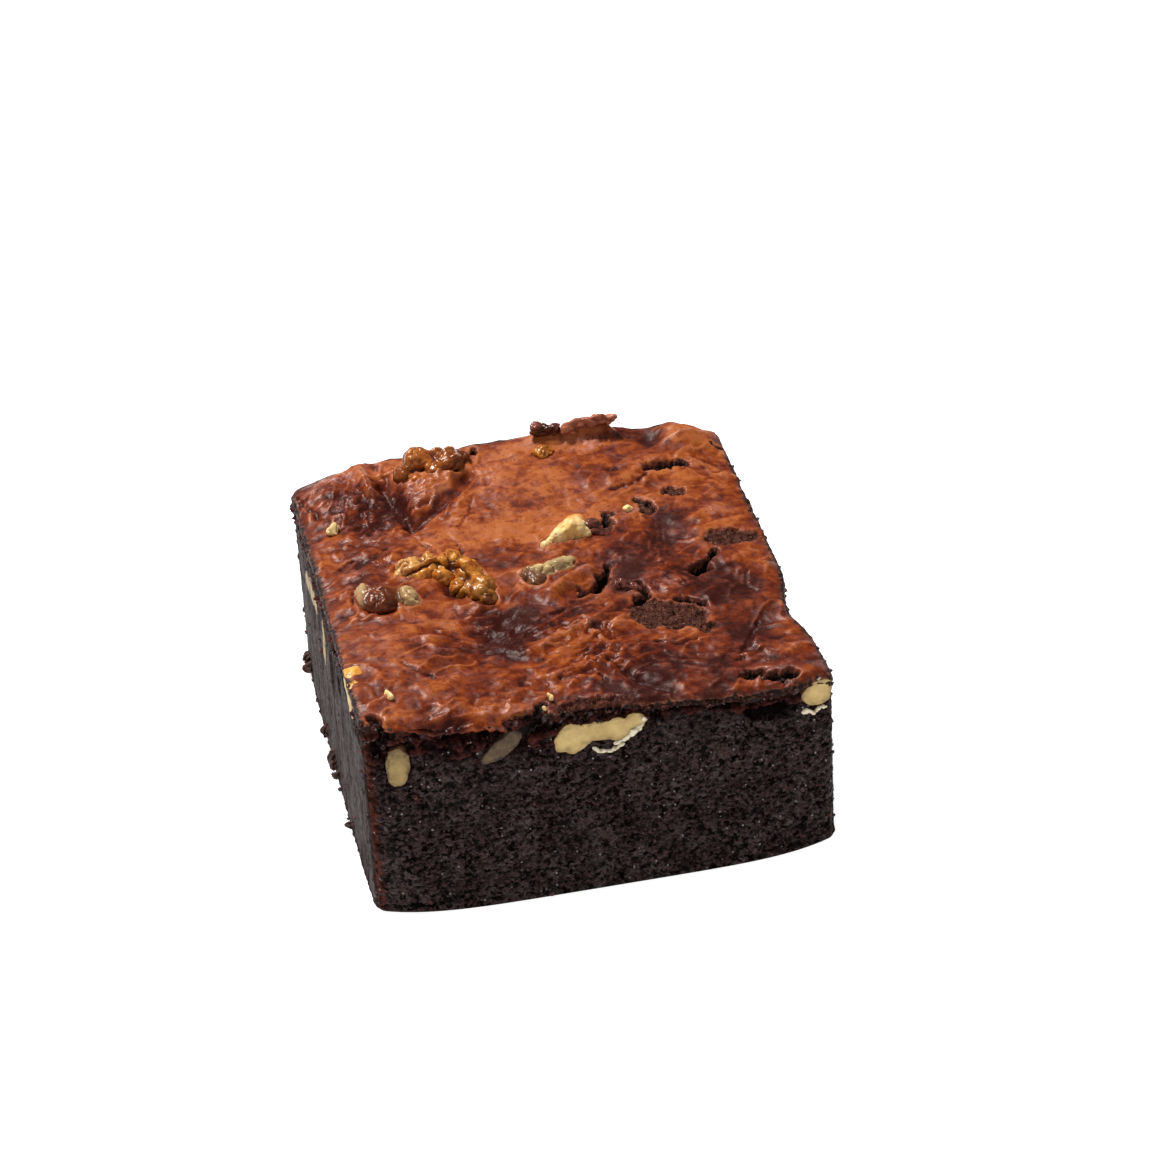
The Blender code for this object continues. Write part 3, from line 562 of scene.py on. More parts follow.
def skin_lumps(x, y):
    """Long lumps and sharp folds of the film, livelier where the skin sank and stayed glossy."""
    lively = np.clip(mapped(x, y, BASE_GLOSS, GLOSSES) * 1.6, 0.25, 1.0)
    along, across = turned(x, y, 28)
    lumps = (0.05 + 0.34 * lively) * lumpy(along / 6.5, across / 3.6, seed=53, octaves=2)
    bend = 0.5 * soft_noise(x / 7, y / 7, seed=59)
    sharp = 1 - 2.6 * np.abs(soft_noise(along / 6.0 + bend, across / 3.4, seed=58))
    film = np.clip(1.6 * lively - 0.4, 0, 1) * smooth_step(-0.1, 0.3, lumpy(x / 9, y / 9, seed=60))
    lumps = lumps + 0.50 * film * np.clip(sharp, -0.3, 1) ** 2 * np.sign(sharp)
    return lumps + 0.02 * lively * lumpy(along / 1.8, across / 1.0, seed=54, octaves=2)


def crust_relief(x, y):
    """Everything the crust shows at each place: its height, and shares used by the finish."""
    rx, ry = ragged(x, y)
    bare = bare_share(rx, ry)
    tear, torn = torn_depth(rx, ry)
    tear = tear * (1 + 0.45 * lumpy(x / 1.0, y / 1.0, seed=56))
    crumbly = 0.50 * lumpy(x / 0.95, y / 0.95, seed=55) - 0.40
    crease = crease_depth(x, y, rx, ry)
    reach = nut_reach(x, y)
    pocket = NUT_POCKET * (1 - smooth_step(0.72, 1.0, reach))
    lip = NUT_LIP * np.exp(-(((reach - 1.22) / 0.16) ** 2))
    height = broad_height(x, y) + skin_lumps(x, y) + skin_plates(x, y) * (1 - bare)
    height = height + wrinkle_waves(x, y) * (1 - bare) + BARE_ROUGHNESS * bare * crumbly
    height = height - crease - tear - pocket + lip
    return {"height": height, "bare": bare, "torn": torn, "crease": crease}


middle = crust_relief(np.array([0.0]), np.array([0.0]))
print("crust at the middle:", round(float(middle["height"][0]), 1), "mm over the foot")

# %% [markdown]
# ## The camera
# The photo was taken from in front, a little to the left and well above, from about 0.6 m away with a
# long lens, and the camera was tilted by a few degrees. These values come from the corners of the block
# in the photo. The camera looks along its own -Z, so its matrix is built from three directions.

# %% The camera
AZIMUTH, ELEVATION, ROLL = math.radians(-10.01), math.radians(31.75), math.radians(-3.38)
CAMERA_DISTANCE = 602.8
LOOK_AT = Vector((4.3, 0.0, 32.1))
FOCAL_LENGTH = 114.6

backward = Vector((
    math.sin(AZIMUTH) * math.cos(ELEVATION), -math.cos(AZIMUTH) * math.cos(ELEVATION), math.sin(ELEVATION),
))
level_right = Vector((math.cos(AZIMUTH), math.sin(AZIMUTH), 0.0))
level_up = backward.cross(level_right)
right = level_right * math.cos(ROLL) + level_up * math.sin(ROLL)
up = level_up * math.cos(ROLL) - level_right * math.sin(ROLL)
camera = bpy.data.objects.new("Camera", bpy.data.cameras.new("Camera"))
bpy.context.scene.collection.objects.link(camera)
camera.matrix_world = Matrix.Translation((LOOK_AT + backward * CAMERA_DISTANCE) * MM) @ Matrix(
    (right, up, backward)
).transposed().to_4x4()
camera.data.sensor_width = 36.0
camera.data.lens = FOCAL_LENGTH
camera.data.clip_start = 0.01
bpy.context.scene.camera = camera
print("camera at", [round(value, 3) for value in camera.matrix_world.translation], "m")

# %% [markdown]
# ## Small helpers for node trees
# A finish is a tree of nodes. A few helpers keep the trees short. The first adds a node and fills its
# sockets, either with a value or with a link. The others mix two colours, move a value to another range,
# do sums, read a share from the mesh, make noise of a given size in millimetres and lay bumps.

# %% Helpers for nodes
def add_node(tree, kind, inputs=None, **settings):
    """A node of this kind, with its settings made and its sockets filled or linked."""
    made = tree.nodes.new(kind)
    for key, value in settings.items():
        setattr(made, key, value)
    for key, value in (inputs or {}).items():
        if isinstance(value, bpy.types.NodeSocket):
            tree.links.new(value, made.inputs[key])
        else:
            made.inputs[key].default_value = value
    return made


def mix_colours(tree, share, first, second):
    """The colour that is the first where share is 0 and the second where it is 1."""
    made = add_node(tree, "ShaderNodeMix", data_type="RGBA", clamp_factor=True)
    for index, value in ((0, share), (6, first), (7, second)):
        if isinstance(value, bpy.types.NodeSocket):
            tree.links.new(value, made.inputs[index])
        else:
            made.inputs[index].default_value = value if index == 0 else (*value, 1.0)
    return made.outputs[2]


def remapped(tree, value, low, high, to_low=0.0, to_high=1.0):
    """A value moved from one range to another and held inside it."""
    inputs = {0: value, 1: low, 2: high, 3: to_low, 4: to_high}
    return add_node(tree, "ShaderNodeMapRange", inputs, clamp=True).outputs[0]


def arithmetic(tree, operation, first, second, third=None):
    """One sum of two or three values."""
    inputs = {0: first, 1: second}
    if third is not None:
        inputs[2] = third
    return add_node(tree, "ShaderNodeMath", inputs, operation=operation).outputs[0]


def product(tree, first, second):
    """Two values multiplied."""
    return arithmetic(tree, "MULTIPLY", first, second)


def swayed(tree, base, noise, amount):
    """A base value that gains where the noise is above one half and loses where it is below."""
    return arithmetic(tree, "MULTIPLY_ADD", arithmetic(tree, "SUBTRACT", noise, 0.5), amount, base)


def attribute(tree, name):
    """A share that was kept on the mesh."""
    return add_node(tree, "ShaderNodeAttribute", attribute_name=name).outputs["Fac"]


def stretched(tree, place, scale, turn=0.0):
    """The Object coordinates made larger or smaller along each axis, and turned about the upright."""
    inputs = {"Vector": place, "Rotation": (0.0, 0.0, math.radians(turn)), "Scale": scale}
    return add_node(tree, "ShaderNodeMapping", inputs).outputs["Vector"]


def noise_texture(tree, place, size_mm, detail=4.0, roughness=0.55, distortion=0.0):
    """Noise whose lumps are about size_mm across."""
    made = add_node(
        tree, "ShaderNodeTexNoise",
        {"Vector": place, "Scale": 1000.0 / size_mm, "Detail": detail, "Roughness": roughness,
         "Distortion": distortion},
    )
    return made.outputs["Fac"]


def new_finish(name):
    """A material with a Principled shader, its tree and the Object coordinates."""
    material = bpy.data.materials.new(name)
    material.use_nodes = True
    tree = material.node_tree
    place = add_node(tree, "ShaderNodeTexCoord").outputs["Object"]
    return material, tree, tree.nodes["Principled BSDF"], place


def bumped(tree, layers):
    """Bump layers, each a height socket and its depth in mm, laid one over the other."""
    normal = None
    for height, depth in layers:
        inputs = {"Height": height, "Distance": depth * MM, "Strength": 1.0}
        if normal is not None:
            inputs["Normal"] = normal
        normal = add_node(tree, "ShaderNodeBump", inputs).outputs["Normal"]
    return normal


print("helpers ready")

# %% [markdown]
# ## The finish of the crust
# The colour follows the tone map: purple brown where the skin sank, orange brown where it stayed high.
# Fine mottling and dark specks break it up, and a pale pink film lies over it, partly as painted highlight.
# Bare crumb is dark and dull, and torn holes are painted nearly black, as shade.
# The gloss map sets the roughness, because sugar skin shines where it stayed wet and thin.

# %% The crust's material
SUNKEN_SKIN = (0.036, 0.0060, 0.0042)
DARK_SKIN = (0.074, 0.0100, 0.0036)
RED_SKIN = (0.135, 0.0175, 0.0026)
ORANGE_SKIN = (0.240, 0.0430, 0.0050)
PALE_SKIN = (0.370, 0.0950, 0.0200)
PINK_FILM_AND_HIGHLIGHT = (0.380, 0.1500, 0.1180)
BARE_CRUMB, BARE_GRAIN = (0.060, 0.0160, 0.0110), (0.240, 0.080, 0.046)
PAINTED_HOLE_SHADE = (0.006, 0.0025, 0.0020)
SKIN_STOPS = (
    (0.0, SUNKEN_SKIN), (0.22, DARK_SKIN), (0.46, RED_SKIN), (0.72, ORANGE_SKIN), (1.0, PALE_SKIN),
)
GLOSSY_ROUGHNESS, DULL_ROUGHNESS = 0.16, 0.62
SKIN_SHINE_TINT = (1.0, 0.80, 0.72, 1.0)


def colour_ramp(tree, value, stops):
    """The colour that a value has on a scale of stops."""
    ramp = add_node(tree, "ShaderNodeValToRGB", {"Fac": value})
    while len(ramp.color_ramp.elements) < len(stops):
        ramp.color_ramp.elements.new(0.5)
    for element, (position, colour) in zip(ramp.color_ramp.elements, stops):
        element.position = position
        element.color = (*colour, 1.0)
    return ramp.outputs["Color"]


def crust_finish():
    material, tree, shader, place = new_finish("crackled crust")
    streaked = stretched(tree, place, (0.80, 1.15, 1.0), -28)
    broad = noise_texture(tree, place, 8.0, 2.0, 0.5)
    mottle = noise_texture(tree, streaked, 3.0, 3.0, 0.55, 0.5)
    small = noise_texture(tree, place, 1.2, 3.0, 0.6)
    fine = noise_texture(tree, place, 0.36, 3.0, 0.65)
    film = noise_texture(tree, streaked, 1.3, 5.0, 0.62, 0.5)
    grains = remapped(tree, noise_texture(tree, place, 0.60, 3.0, 0.6), 0.46, 0.66)
    bare, gloss_map = attribute(tree, "bare"), attribute(tree, "gloss")

    # the sugar skin, light or dark by its tone, with dark specks
    blots = remapped(tree, noise_texture(tree, place, 1.9, 2.0, 0.5, 0.4), 0.54, 0.64, 0.5, 0.27)
    tone = attribute(tree, "tone")
    for noise, amount in ((broad, 0.80), (mottle, 1.25), (small, 0.70), (fine, 0.32), (blots, 1.0)):
        tone = swayed(tree, tone, noise, amount)
    specks = remapped(tree, noise_texture(tree, place, 0.55, 1.0, 0.5), 0.67, 0.73)
    skin = colour_ramp(tree, tone, SKIN_STOPS)
    colour = mix_colours(tree, product(tree, specks, 0.85), skin, DARK_SKIN)

    # the pale pink film on it, partly a painted highlight, weaker where the skin is dark
    pale = remapped(tree, noise_texture(tree, place, 2.3, 3.0, 0.55, 0.4), 0.56, 0.68, 0.0, 0.19)
    veil = remapped(tree, film, 0.48, 0.56, 0.05, 1.10)
    film_highlight = arithmetic(tree, "MULTIPLY_ADD", attribute(tree, "film_highlight"), veil, pale)
    film_highlight = product(tree, film_highlight, remapped(tree, tone, 0.0, 0.40, 0.30, 1.0))
    colour = mix_colours(tree, film_highlight, colour, PINK_FILM_AND_HIGHLIGHT)

    # bare crumb, and torn holes whose deep parts are painted nearly black as shade
    crumb = mix_colours(tree, grains, BARE_CRUMB, BARE_GRAIN)
    colour = mix_colours(tree, bare, colour, crumb)
    torn = swayed(tree, attribute(tree, "torn"), grains, -0.25)
    colour = mix_colours(tree, remapped(tree, torn, 0.13, 0.30), colour, crumb)
    colour = mix_colours(tree, remapped(tree, torn, 0.30, 0.62), colour, PAINTED_HOLE_SHADE)
    tree.links.new(colour, shader.inputs["Base Color"])

    # the shine, and the fine bumps that break it up
    gloss = swayed(tree, gloss_map, film, 1.2)
    roughness = remapped(tree, gloss, 0.0, 1.0, DULL_ROUGHNESS, GLOSSY_ROUGHNESS)
    dull = arithmetic(tree, "MAXIMUM", bare, attribute(tree, "torn"))
    roughness = arithmetic(tree, "MULTIPLY_ADD", dull, 0.4, roughness)
    tree.links.new(roughness, shader.inputs["Roughness"])
    tree.links.new(remapped(tree, tone, -0.1, 0.40, 0.11, 0.25), shader.inputs["Specular IOR Level"])
    shader.inputs["Specular Tint"].default_value = SKIN_SHINE_TINT
    creased = product(tree, film, remapped(tree, gloss_map, 0.45, 1.0, 0.5, 2.6))
    layers = ((creased, 0.10), (small, 0.07), (fine, 0.035), (product(tree, grains, bare), 0.40))
    tree.links.new(bumped(tree, layers), shader.inputs["Normal"])
    return material


crust_material = crust_finish()
print("finish:", crust_material.name)

# %% [markdown]
# ## The crust as a thin closed shell
# The top is a grid, shaped by the relief. At the rim the skin rolls over the cut walls and ends in a
# ragged hem, which hangs lower at some places than at others. Under the hem the shell turns inwards and
# closes, so it is one closed body. The walls of the block stand out of the plain square by a few
# millimetres, because the soft crumb sagged, and the rim follows them.

# %% The plan of the square
def rounded_corners(x, y):
    """Places of the plain square, with its four upright corners rounded."""
    inner_x, inner_y = WIDTH / 2 - CORNER_RADIUS, DEPTH / 2 - CORNER_RADIUS
    dx, dy = np.abs(x) - inner_x, np.abs(y) - inner_y
    corner = (dx > 0) & (dy > 0)
    far = np.maximum(dx, dy)
    scale = np.where(corner, far / np.maximum(np.hypot(dx, dy), 1e-9), 1.0)
    return (
        np.where(corner, np.sign(x) * (inner_x + dx * scale), x),
        np.where(corner, np.sign(y) * (inner_y + dy * scale), y),
    )


def wall_offset(u, v, level):
    """How far the block stands out of the plain square. Level is 0 at the foot and 1 at the crust."""
    level = np.clip(level, 0, 1)
    front = FRONT_SAG_TOP + (FRONT_SAG_FOOT - FRONT_SAG_TOP) * (1 - level) ** 0.8
    au, av = np.clip(np.abs(u), 0, 1), np.clip(np.abs(v), 0, 1)
    y_out = np.where(v < 0, -front * (1 - au ** 5), BACK_SAG * (1 - au ** 4))
    foot = np.where(u < 0, LEFT_SAG_FOOT, RIGHT_SAG_FOOT)
    x_out = np.sign(u) * foot * (1 - level) * (1 - av ** 4)
    bite = -2.0 * np.exp(-(((v * DEPTH / 2 + 17.0) / 6.5) ** 2)) * (u > 0) * level
    return (x_out + bite) * au, y_out * av


def plan_place(u, v, level):
    """Where a point of the square ends up in plan."""
    x, y = rounded_corners(u * WIDTH / 2, v * DEPTH / 2)
    x_out, y_out = wall_offset(u, v, level)
    return x + x_out, y + y_out


def rim_loop(across, deep):
    """Rows of u and v that run once round the square from the front left corner."""
    u = np.concatenate([across[:-1], np.ones(len(deep) - 1), across[:0:-1], -np.ones(len(deep) - 1)])
    v = np.concatenate([-np.ones(len(across) - 1), deep[:-1], np.ones(len(across) - 1), deep[:0:-1]])
    return u, v


def outward_of(x, y):
    """Unit directions out of a closed loop that runs anticlockwise."""
    dx = np.roll(x, -3) - np.roll(x, 3)
    dy = np.roll(y, -3) - np.roll(y, 3)
    length = np.hypot(dx, dy)
    return dy / length, -dx / length


print("plan of the rim at the front middle:", [round(float(c), 2) for c in plan_place(0.0, -1.0, 1.0)])


# %% Meshes from rows of points
def mesh_object(name, places, faces, material, shares=None):
    """An object with smooth faces from places in mm, with its shares kept as attributes."""
    mesh = bpy.data.meshes.new(name)
    mesh.from_pydata((places * MM).tolist(), [], faces)
    mesh.validate()
    for key, values in (shares or {}).items():
        kept = mesh.attributes.new(key, "FLOAT", "POINT")
        kept.data.foreach_set("value", np.ascontiguousarray(values, np.float32))
    mesh.materials.append(material)
    mesh.shade_smooth()
    made = bpy.data.objects.new(name, mesh)
    bpy.context.scene.collection.objects.link(made)
    return made


def ring_faces(upper, lower):
    """Faces between two closed loops of point numbers, turned outwards."""
    upper, lower = np.asarray(upper), np.asarray(lower)
    faces = np.stack([upper, lower, np.roll(lower, -1), np.roll(upper, -1)], axis=1)
    return faces.tolist()


print("two rings of four points make", len(ring_faces(range(4), range(4, 8))), "faces")

# %% [markdown]
# ## The hem
# Rings of points carry the skin down over the cut faces. The last ring turns inwards and the shell closes
# under the crust. The tone follows the relief: a raised wrinkle is made lighter, partly as bake colour and
# partly as painted light, and a crease darker as painted shade. Blurring the height and taking it away
# leaves only what stands up.

# %% The crust and its hem
# along the front in mm, and how far the skin hangs over the cut face there
FRONT_HEM = ((-38, 0.8), (-34, 0.6), (-28, 0.8), (-20, 1.3), (-14, 1.3), (-11, 0.6), (2, 0.5), (12, 0.9),
             (20, 0.9), (25, 1.6), (31, 1.6), (33.5, 0.9), (38, 1.2))
OTHER_HEM = 1.3
HEM_RINGS = 10
HEM_OVERHANG, HEM_TURNED_IN = 0.24, 1.2
CRUST_CLOSES_AT = 24.0
FINE_BLUR, BROAD_BLUR = 0.6, 2.2
CRUST_CELLS = ((288, 296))


def hem_drop(x, y, v):
    """How far down the skin hangs at each point of the rim."""
    front = np.interp(x, *zip(*FRONT_HEM))
    drop = np.where(v < -0.999, front, OTHER_HEM)
    torn_edge = 0.45 * lumpy(x / 2.6, y / 2.6, seed=71) + 0.35 * soft_noise(x / 0.8, y / 0.8, seed=72)
    return np.maximum(drop + torn_edge, np.where(v < -0.999, 0.3, 0.9))


def blurred(grid, cells):
    """A grid of heights, softened over this many cells."""
    margin = 24
    padded = np.pad(grid, margin, mode="edge")
    wave_x, wave_y = np.fft.fftfreq(padded.shape[0])[:, None], np.fft.rfftfreq(padded.shape[1])[None, :]
    fade = np.exp(-2 * (math.pi * cells) ** 2 * (wave_x ** 2 + wave_y ** 2))
    soft = np.fft.irfft2(np.fft.rfft2(padded) * fade, s=padded.shape)
    return soft[margin:-margin, margin:-margin]


def crust_shares(x, y, edge, relief, raised):
    """The shares that the finish of the crust reads, each as a list with one block of points."""
    rim = edge + 0.40 * lumpy(x / 1.1, y / 1.1, seed=77)
    rim = rim + 0.45 * lumpy(x / 5.0, y / 5.0, octaves=1, seed=78)
    whole = smooth_step(-36, -31, x) * (1 - smooth_step(-13, -9, x)) * (y < -30)
    rim = rim + 0.8 * whole
    tone = mapped(x, y, BASE_TONE, TONES)
    # a wrinkle that stands up is made lighter, partly as bake colour and partly as painted light, and a
    # crease is made darker as painted shade
    stands_up = np.clip(0.50 * raised[BROAD_BLUR] + 0.8 * raised[FINE_BLUR], -0.28, 0.3)
    tone += stands_up - 0.4 * relief["crease"]
    # the pink film also goes on the tops of fine ridges, as a painted highlight
    film_highlight = mapped(x, y, 0.0, PINK_FILM_AND_HIGHLIGHT_SPOTS) + 1.2 * np.clip(raised[FINE_BLUR] - 0.06, 0, 0.3)
    # the torn share also runs along the ragged rim, so the skin's edge turns to crumb and then to near
    # black, the painted shade of the gap under the hem
    return {
        "tone": [tone], "gloss": [mapped(x, y, BASE_GLOSS, GLOSSES)], "bare": [relief["bare"]],
        "torn": [np.maximum(relief["torn"], 0.55 * (1 - smooth_step(0.0, 0.75, rim)))],
        "film_highlight": [np.clip(film_highlight, 0, 0.85)],
    }


def make_crust():
    across = np.linspace(-1, 1, CRUST_CELLS[0] + 1)
    deep = np.linspace(-1, 1, CRUST_CELLS[1] + 1)
    u, v = [grid.ravel() for grid in np.meshgrid(across, deep, indexing="ij")]
    x, y = plan_place(u, v, np.ones(len(u)))
    relief = crust_relief(x, y)
    edge = np.minimum((1 - np.abs(u)) * WIDTH / 2, (1 - np.abs(v)) * DEPTH / 2)
    roll = np.where(v < 0, 0.9, 0.15) * (np.abs(v) > np.abs(u)) + 0.3 * (np.abs(v) <= np.abs(u))
    height = relief["height"] - roll * (1 - smooth_step(0.0, 1.8, edge)) ** 2
    top = np.stack([x, y, height], axis=1)
    grid = relief["height"].reshape(len(across), len(deep))
    raised = {}
    for size in (FINE_BLUR, BROAD_BLUR):
        raised[size] = (grid - blurred(grid, size * len(across) / WIDTH)).ravel()

    number = np.arange(len(u)).reshape(len(across), len(deep))
    faces = np.stack([number[:-1, :-1], number[1:, :-1], number[1:, 1:], number[:-1, 1:]], axis=-1)
    faces = faces.reshape(-1, 4).tolist()
    loop = np.concatenate([number[:-1, 0], number[-1, :-1], number[:0:-1, -1], number[0, :0:-1]])

    loop_x, loop_y, loop_z = top[loop].T
    out_x, out_y = outward_of(loop_x, loop_y)
    drop = hem_drop(loop_x, loop_y, v[loop])
    places, upper = [top], loop
    shares = crust_shares(x, y, edge, relief, raised)
    for ring in range(1, HEM_RINGS + 1):
        share = ring / HEM_RINGS
        flake = 0.16 * lumpy(loop_x / 1.2, loop_y / 1.2, loop_z / 1.2 - drop * share / 0.8, seed=73)
        out = HEM_OVERHANG * math.sin(math.pi * share) + flake * (share < 0.99)
        if ring == HEM_RINGS:
            out = out - HEM_TURNED_IN
        z = loop_z - drop * share
        places.append(np.stack([loop_x + out_x * out, loop_y + out_y * out, z], axis=1))
        lower = np.arange(len(loop)) + sum(len(block) for block in places[:-1])
        faces += ring_faces(upper, lower)
        upper = lower
        for key in shares:
            fade = 1 - 0.4 * share ** 2 if key in ("tone", "film_highlight", "gloss") else 1.0
            shares[key].append(shares[key][0][loop] * fade)
    centre = sum(len(block) for block in places)
    places.append(np.array([[0.0, 0.0, CRUST_CLOSES_AT]]))
    faces += [[int(a), centre, int(b)] for a, b in zip(upper, np.roll(upper, -1))]
    for key in shares:
        shares[key].append(np.array([0.0]))
    shares = {key: np.concatenate(blocks) for key, blocks in shares.items()}
    return mesh_object("crackled_crust", np.concatenate(places), faces, crust_material, shares)


crust = make_crust()
print("crust:", len(crust.data.polygons), "faces")

# %% [markdown]
# ## The crumb in the cut walls
# A knife through a fudgy brownie leaves a dense crumb with small pores, most of them wider than they are
# high, and a soft grain between them. On the left the blade smeared the crumb smooth. Just under the
# crust the bake is loose and layered, with dark gaps, and it tears into small ledges. The four walls and
# the foot are one closed body: rows of points go round the block, and each point is moved in or out.

# %% Places in the walls
# along the wall, height, half-length, half-height, depth of hollows in the crumb
FRONT_HOLLOWS = (
    (-22.0, 31.2, 6.5, 0.9, 0.9), (-11.5, 30.6, 2.6, 1.1, 1.5), (-30.6, 31.6, 2.2, 0.7, 0.5),
    (27.0, 26.8, 4.4, 1.3, 2.0), (14.0, 30.3, 5.0, 0.7, 1.0), (8.8, 29.6, 1.2, 1.8, 1.2),
    (-1.0, 31.8, 7.0, 0.8, 1.0), (-35.6, 30.8, 1.0, 1.8, 1.3),
)
LEFT_HOLLOWS = (
    (11.0, 30.4, 8.5, 1.1, 1.5), (-3.5, 22.5, 2.2, 4.2, 1.5), (-13.0, 26.0, 1.2, 2.0, 1.2),
    (-8.5, 30.8, 3.0, 1.0, 1.2), (-20.5, 31.6, 1.6, 1.2, 1.0), (-33.5, 30.5, 3.2, 1.0, 1.0),
)
# along the front, and how far down the loose torn crumb reaches there
FRONT_LOOSE = ((-38, 6.5), (-30, 5.0), (-20, 5.4), (-10, 4.6), (0, 3.4), (8, 2.2), (18, 1.8),
               (24, 3.4), (31, 3.6), (35, 2.2), (38, 1.8))
OTHER_LOOSE = 2.4
CRUMB_BELOW_CRUST = 0.9
CUT_NUT_POCKET = 2.2
CRUMB_CLOSES_AT = 25.0
WALL_ROWS = 111
WALL_COLUMNS = ((266, 178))
print(len(FRONT_HOLLOWS), "hollows in the front wall and", len(LEFT_HOLLOWS), "in the left wall")


# %% Relief of the walls
def wall_reach(side, along, height):
    """Below 1 inside the outline of a nut that the knife cut through on this wall."""
    reach = np.full(np.shape(along), FAR_AWAY)
    sign = 1 if side in ("left", "right") else -1
    for where, lobes in WALL_NUTS.values():
        if where == side:
            for place, z, half_length, half_height, turn in lobes:
                a, b = turned(along - place, height - z, sign * turn)
                reach = np.minimum(reach, np.hypot(a / half_length, b / half_height))
    return reach


def hollow_depth(along, height, hollows):
    """How deep the gaps under the crust are."""
    depth = np.zeros(np.shape(along))
    a = along + 0.7 * lumpy(along / 2.0, height / 1.4, seed=81)
    b = height + 0.35 * lumpy(along / 1.5, height / 1.0, seed=82)
    for place, z, half_length, half_height, most in hollows:
        reach = np.hypot((a - place) / half_length, (b - z) / half_height)
        depth = np.maximum(depth, most * (1 - smooth_step(0.6, 1.1, reach)))
    return depth


def crumb_relief(round_place, height, smear):
    """In or out of the wall by grain, lumps and pores, and the share of pores. Smear flattens it."""
    s, z = round_place, height
    grain = 0.16 * lumpy(s / 2.6, z / 2.0, seed=83) + 0.14 * lumpy(s / 0.75, z / 0.62, seed=84, octaves=2)
    pores = np.zeros(np.shape(s))
    for size, flat, chance, most, seed in ((0.85, 0.80, 0.60, 0.30, 85), (1.5, 0.62, 0.34, 0.50, 86)):
        bend = 0.55 * lumpy(s / 0.9, z / 0.7, seed=seed + 20, octaves=2)
        first, _, number = nearest_cell(s / size + bend, z / (size * flat) + bend, seed=seed)
        radius = 0.14 + 0.20 * number
        inside = 1 - smooth_step(radius * 0.55, radius, first)
        pores = np.maximum(pores, most * (number > 1 - chance) * inside)
    return (grain - pores) * (1 - 0.72 * smear), pores / 0.62


sample = crumb_relief(np.linspace(0, 75, 500), np.full(500, 15.0), 0.0)[0]
print("the crumb moves in and out by", round(float(np.ptp(sample)), 2), "mm")


# %% The crumb as one closed body
def wall_row(u, v, side, around, level, top):
    """One row of points round the block at a share of its height, and the row's shares."""
    z = level * top
    x, y = plan_place(u, v, level * np.ones(len(u)))
    out_x, out_y = outward_of(x, y)
    along = np.where((side == "front") | (side == "back"), x, y)
    smear = np.where(side == "left", 1.0, 0.35 * (side == "right"))
    smear = smear * (1 - smooth_step(-5.0, 3.0, z - top + 3.0) * 0.5)
    move, pore = crumb_relief(around, z, smear)
    gap = np.zeros(len(u))
    for name, hollows in (("front", FRONT_HOLLOWS), ("left", LEFT_HOLLOWS)):
        gap = np.maximum(gap, hollow_depth(along, z, hollows) * (side == name))
    reach = np.full(len(u), FAR_AWAY)
    for name in ("front", "right", "back", "left"):
        reach = np.where(side == name, wall_reach(name, along, z), reach)
    pocket = CUT_NUT_POCKET * (1 - smooth_step(0.72, 0.92, reach))

    # the loose torn crumb just under the crust, and the foot that spreads a little
    reach_down = np.where(side == "front", np.interp(x, *zip(*FRONT_LOOSE)), OTHER_LOOSE)
    uneven_edge = 0.45 * lumpy(around / 3.0, z / 1.8, seed=87)
    loose = 1 - smooth_step(0.78, 1.12, (top - z) / reach_down + uneven_edge)
    torn_lumps = 1.0 * lumpy(around / 2.3, z / 1.3, seed=88)
    torn_lumps = torn_lumps + 0.36 * soft_noise(around / 0.7, z / 0.55, seed=91)
    spread = 0.25 * (1 - smooth_step(0.0, 1.4, z)) * (1 + soft_noise(around / 1.1, 0.0, seed=89))
    moved = move + torn_lumps * loose + spread - gap - pocket
    if level in (0.0, 1.0):
        moved = np.zeros(len(u))
    rind_edge = x + WIDTH / 2 + 0.8 * lumpy(z / 0.9, x / 0.9, seed=90)
    rind = (side == "front") * (1 - smooth_step(0.5, 1.7, rind_edge))
    shares = {
        "pore": pore, "gap": np.maximum(gap / 1.2, pocket / CUT_NUT_POCKET), "loose": loose,
        "smear": smear, "rind": rind, "ledge": 0.5 + 0.8 * torn_lumps,
    }
    return np.stack([x + out_x * moved, y + out_y * moved, z], axis=1), shares


def make_crumb():
    across = np.linspace(-1, 1, WALL_COLUMNS[0] + 1)
    deep = np.linspace(-1, 1, WALL_COLUMNS[1] + 1)
    u, v = rim_loop(across, deep)
    plain_x, plain_y = rounded_corners(u * WIDTH / 2, v * DEPTH / 2)
    top = broad_height(*plan_place(u, v, np.ones(len(u)))) - CRUMB_BELOW_CRUST
    step = np.hypot(np.diff(plain_x, append=plain_x[0]), np.diff(plain_y, append=plain_y[0]))
    around = np.concatenate([[0.0], np.cumsum(step)[:-1]])
    side = np.select([v <= -1, u >= 1, v >= 1], ["front", "right", "back"], "left")
    rows, shares = [], {}
    for level in np.linspace(0, 1, WALL_ROWS + 1):
        row, row_shares = wall_row(u, v, side, around, level, top)
        rows.append(row)
        for key, value in row_shares.items():
            shares.setdefault(key, []).append(np.clip(value, 0, 1))
    count = len(u)
    faces = []
    for row in range(WALL_ROWS):
        upper = np.arange(count) + (row + 1) * count
        faces += ring_faces(upper, upper - count)
    last = count * (WALL_ROWS + 1)
    rows.append(np.array([[0.0, 0.0, 0.0], [0.0, 0.0, CRUMB_CLOSES_AT]]))
    first_ring, top_ring = np.arange(count), np.arange(count) + WALL_ROWS * count
    faces += [[int(a), last, int(b)] for a, b in zip(first_ring, np.roll(first_ring, -1))]
    faces += [[int(a), int(b), last + 1] for a, b in zip(top_ring, np.roll(top_ring, -1))]
    shares = {key: np.concatenate([*blocks, np.zeros(2)]) for key, blocks in shares.items()}
    return mesh_object("porous_crumb", np.concatenate(rows), faces, crumb_finish(), shares)


print("the walls have", WALL_ROWS, "rows of", 2 * sum(WALL_COLUMNS), "points")
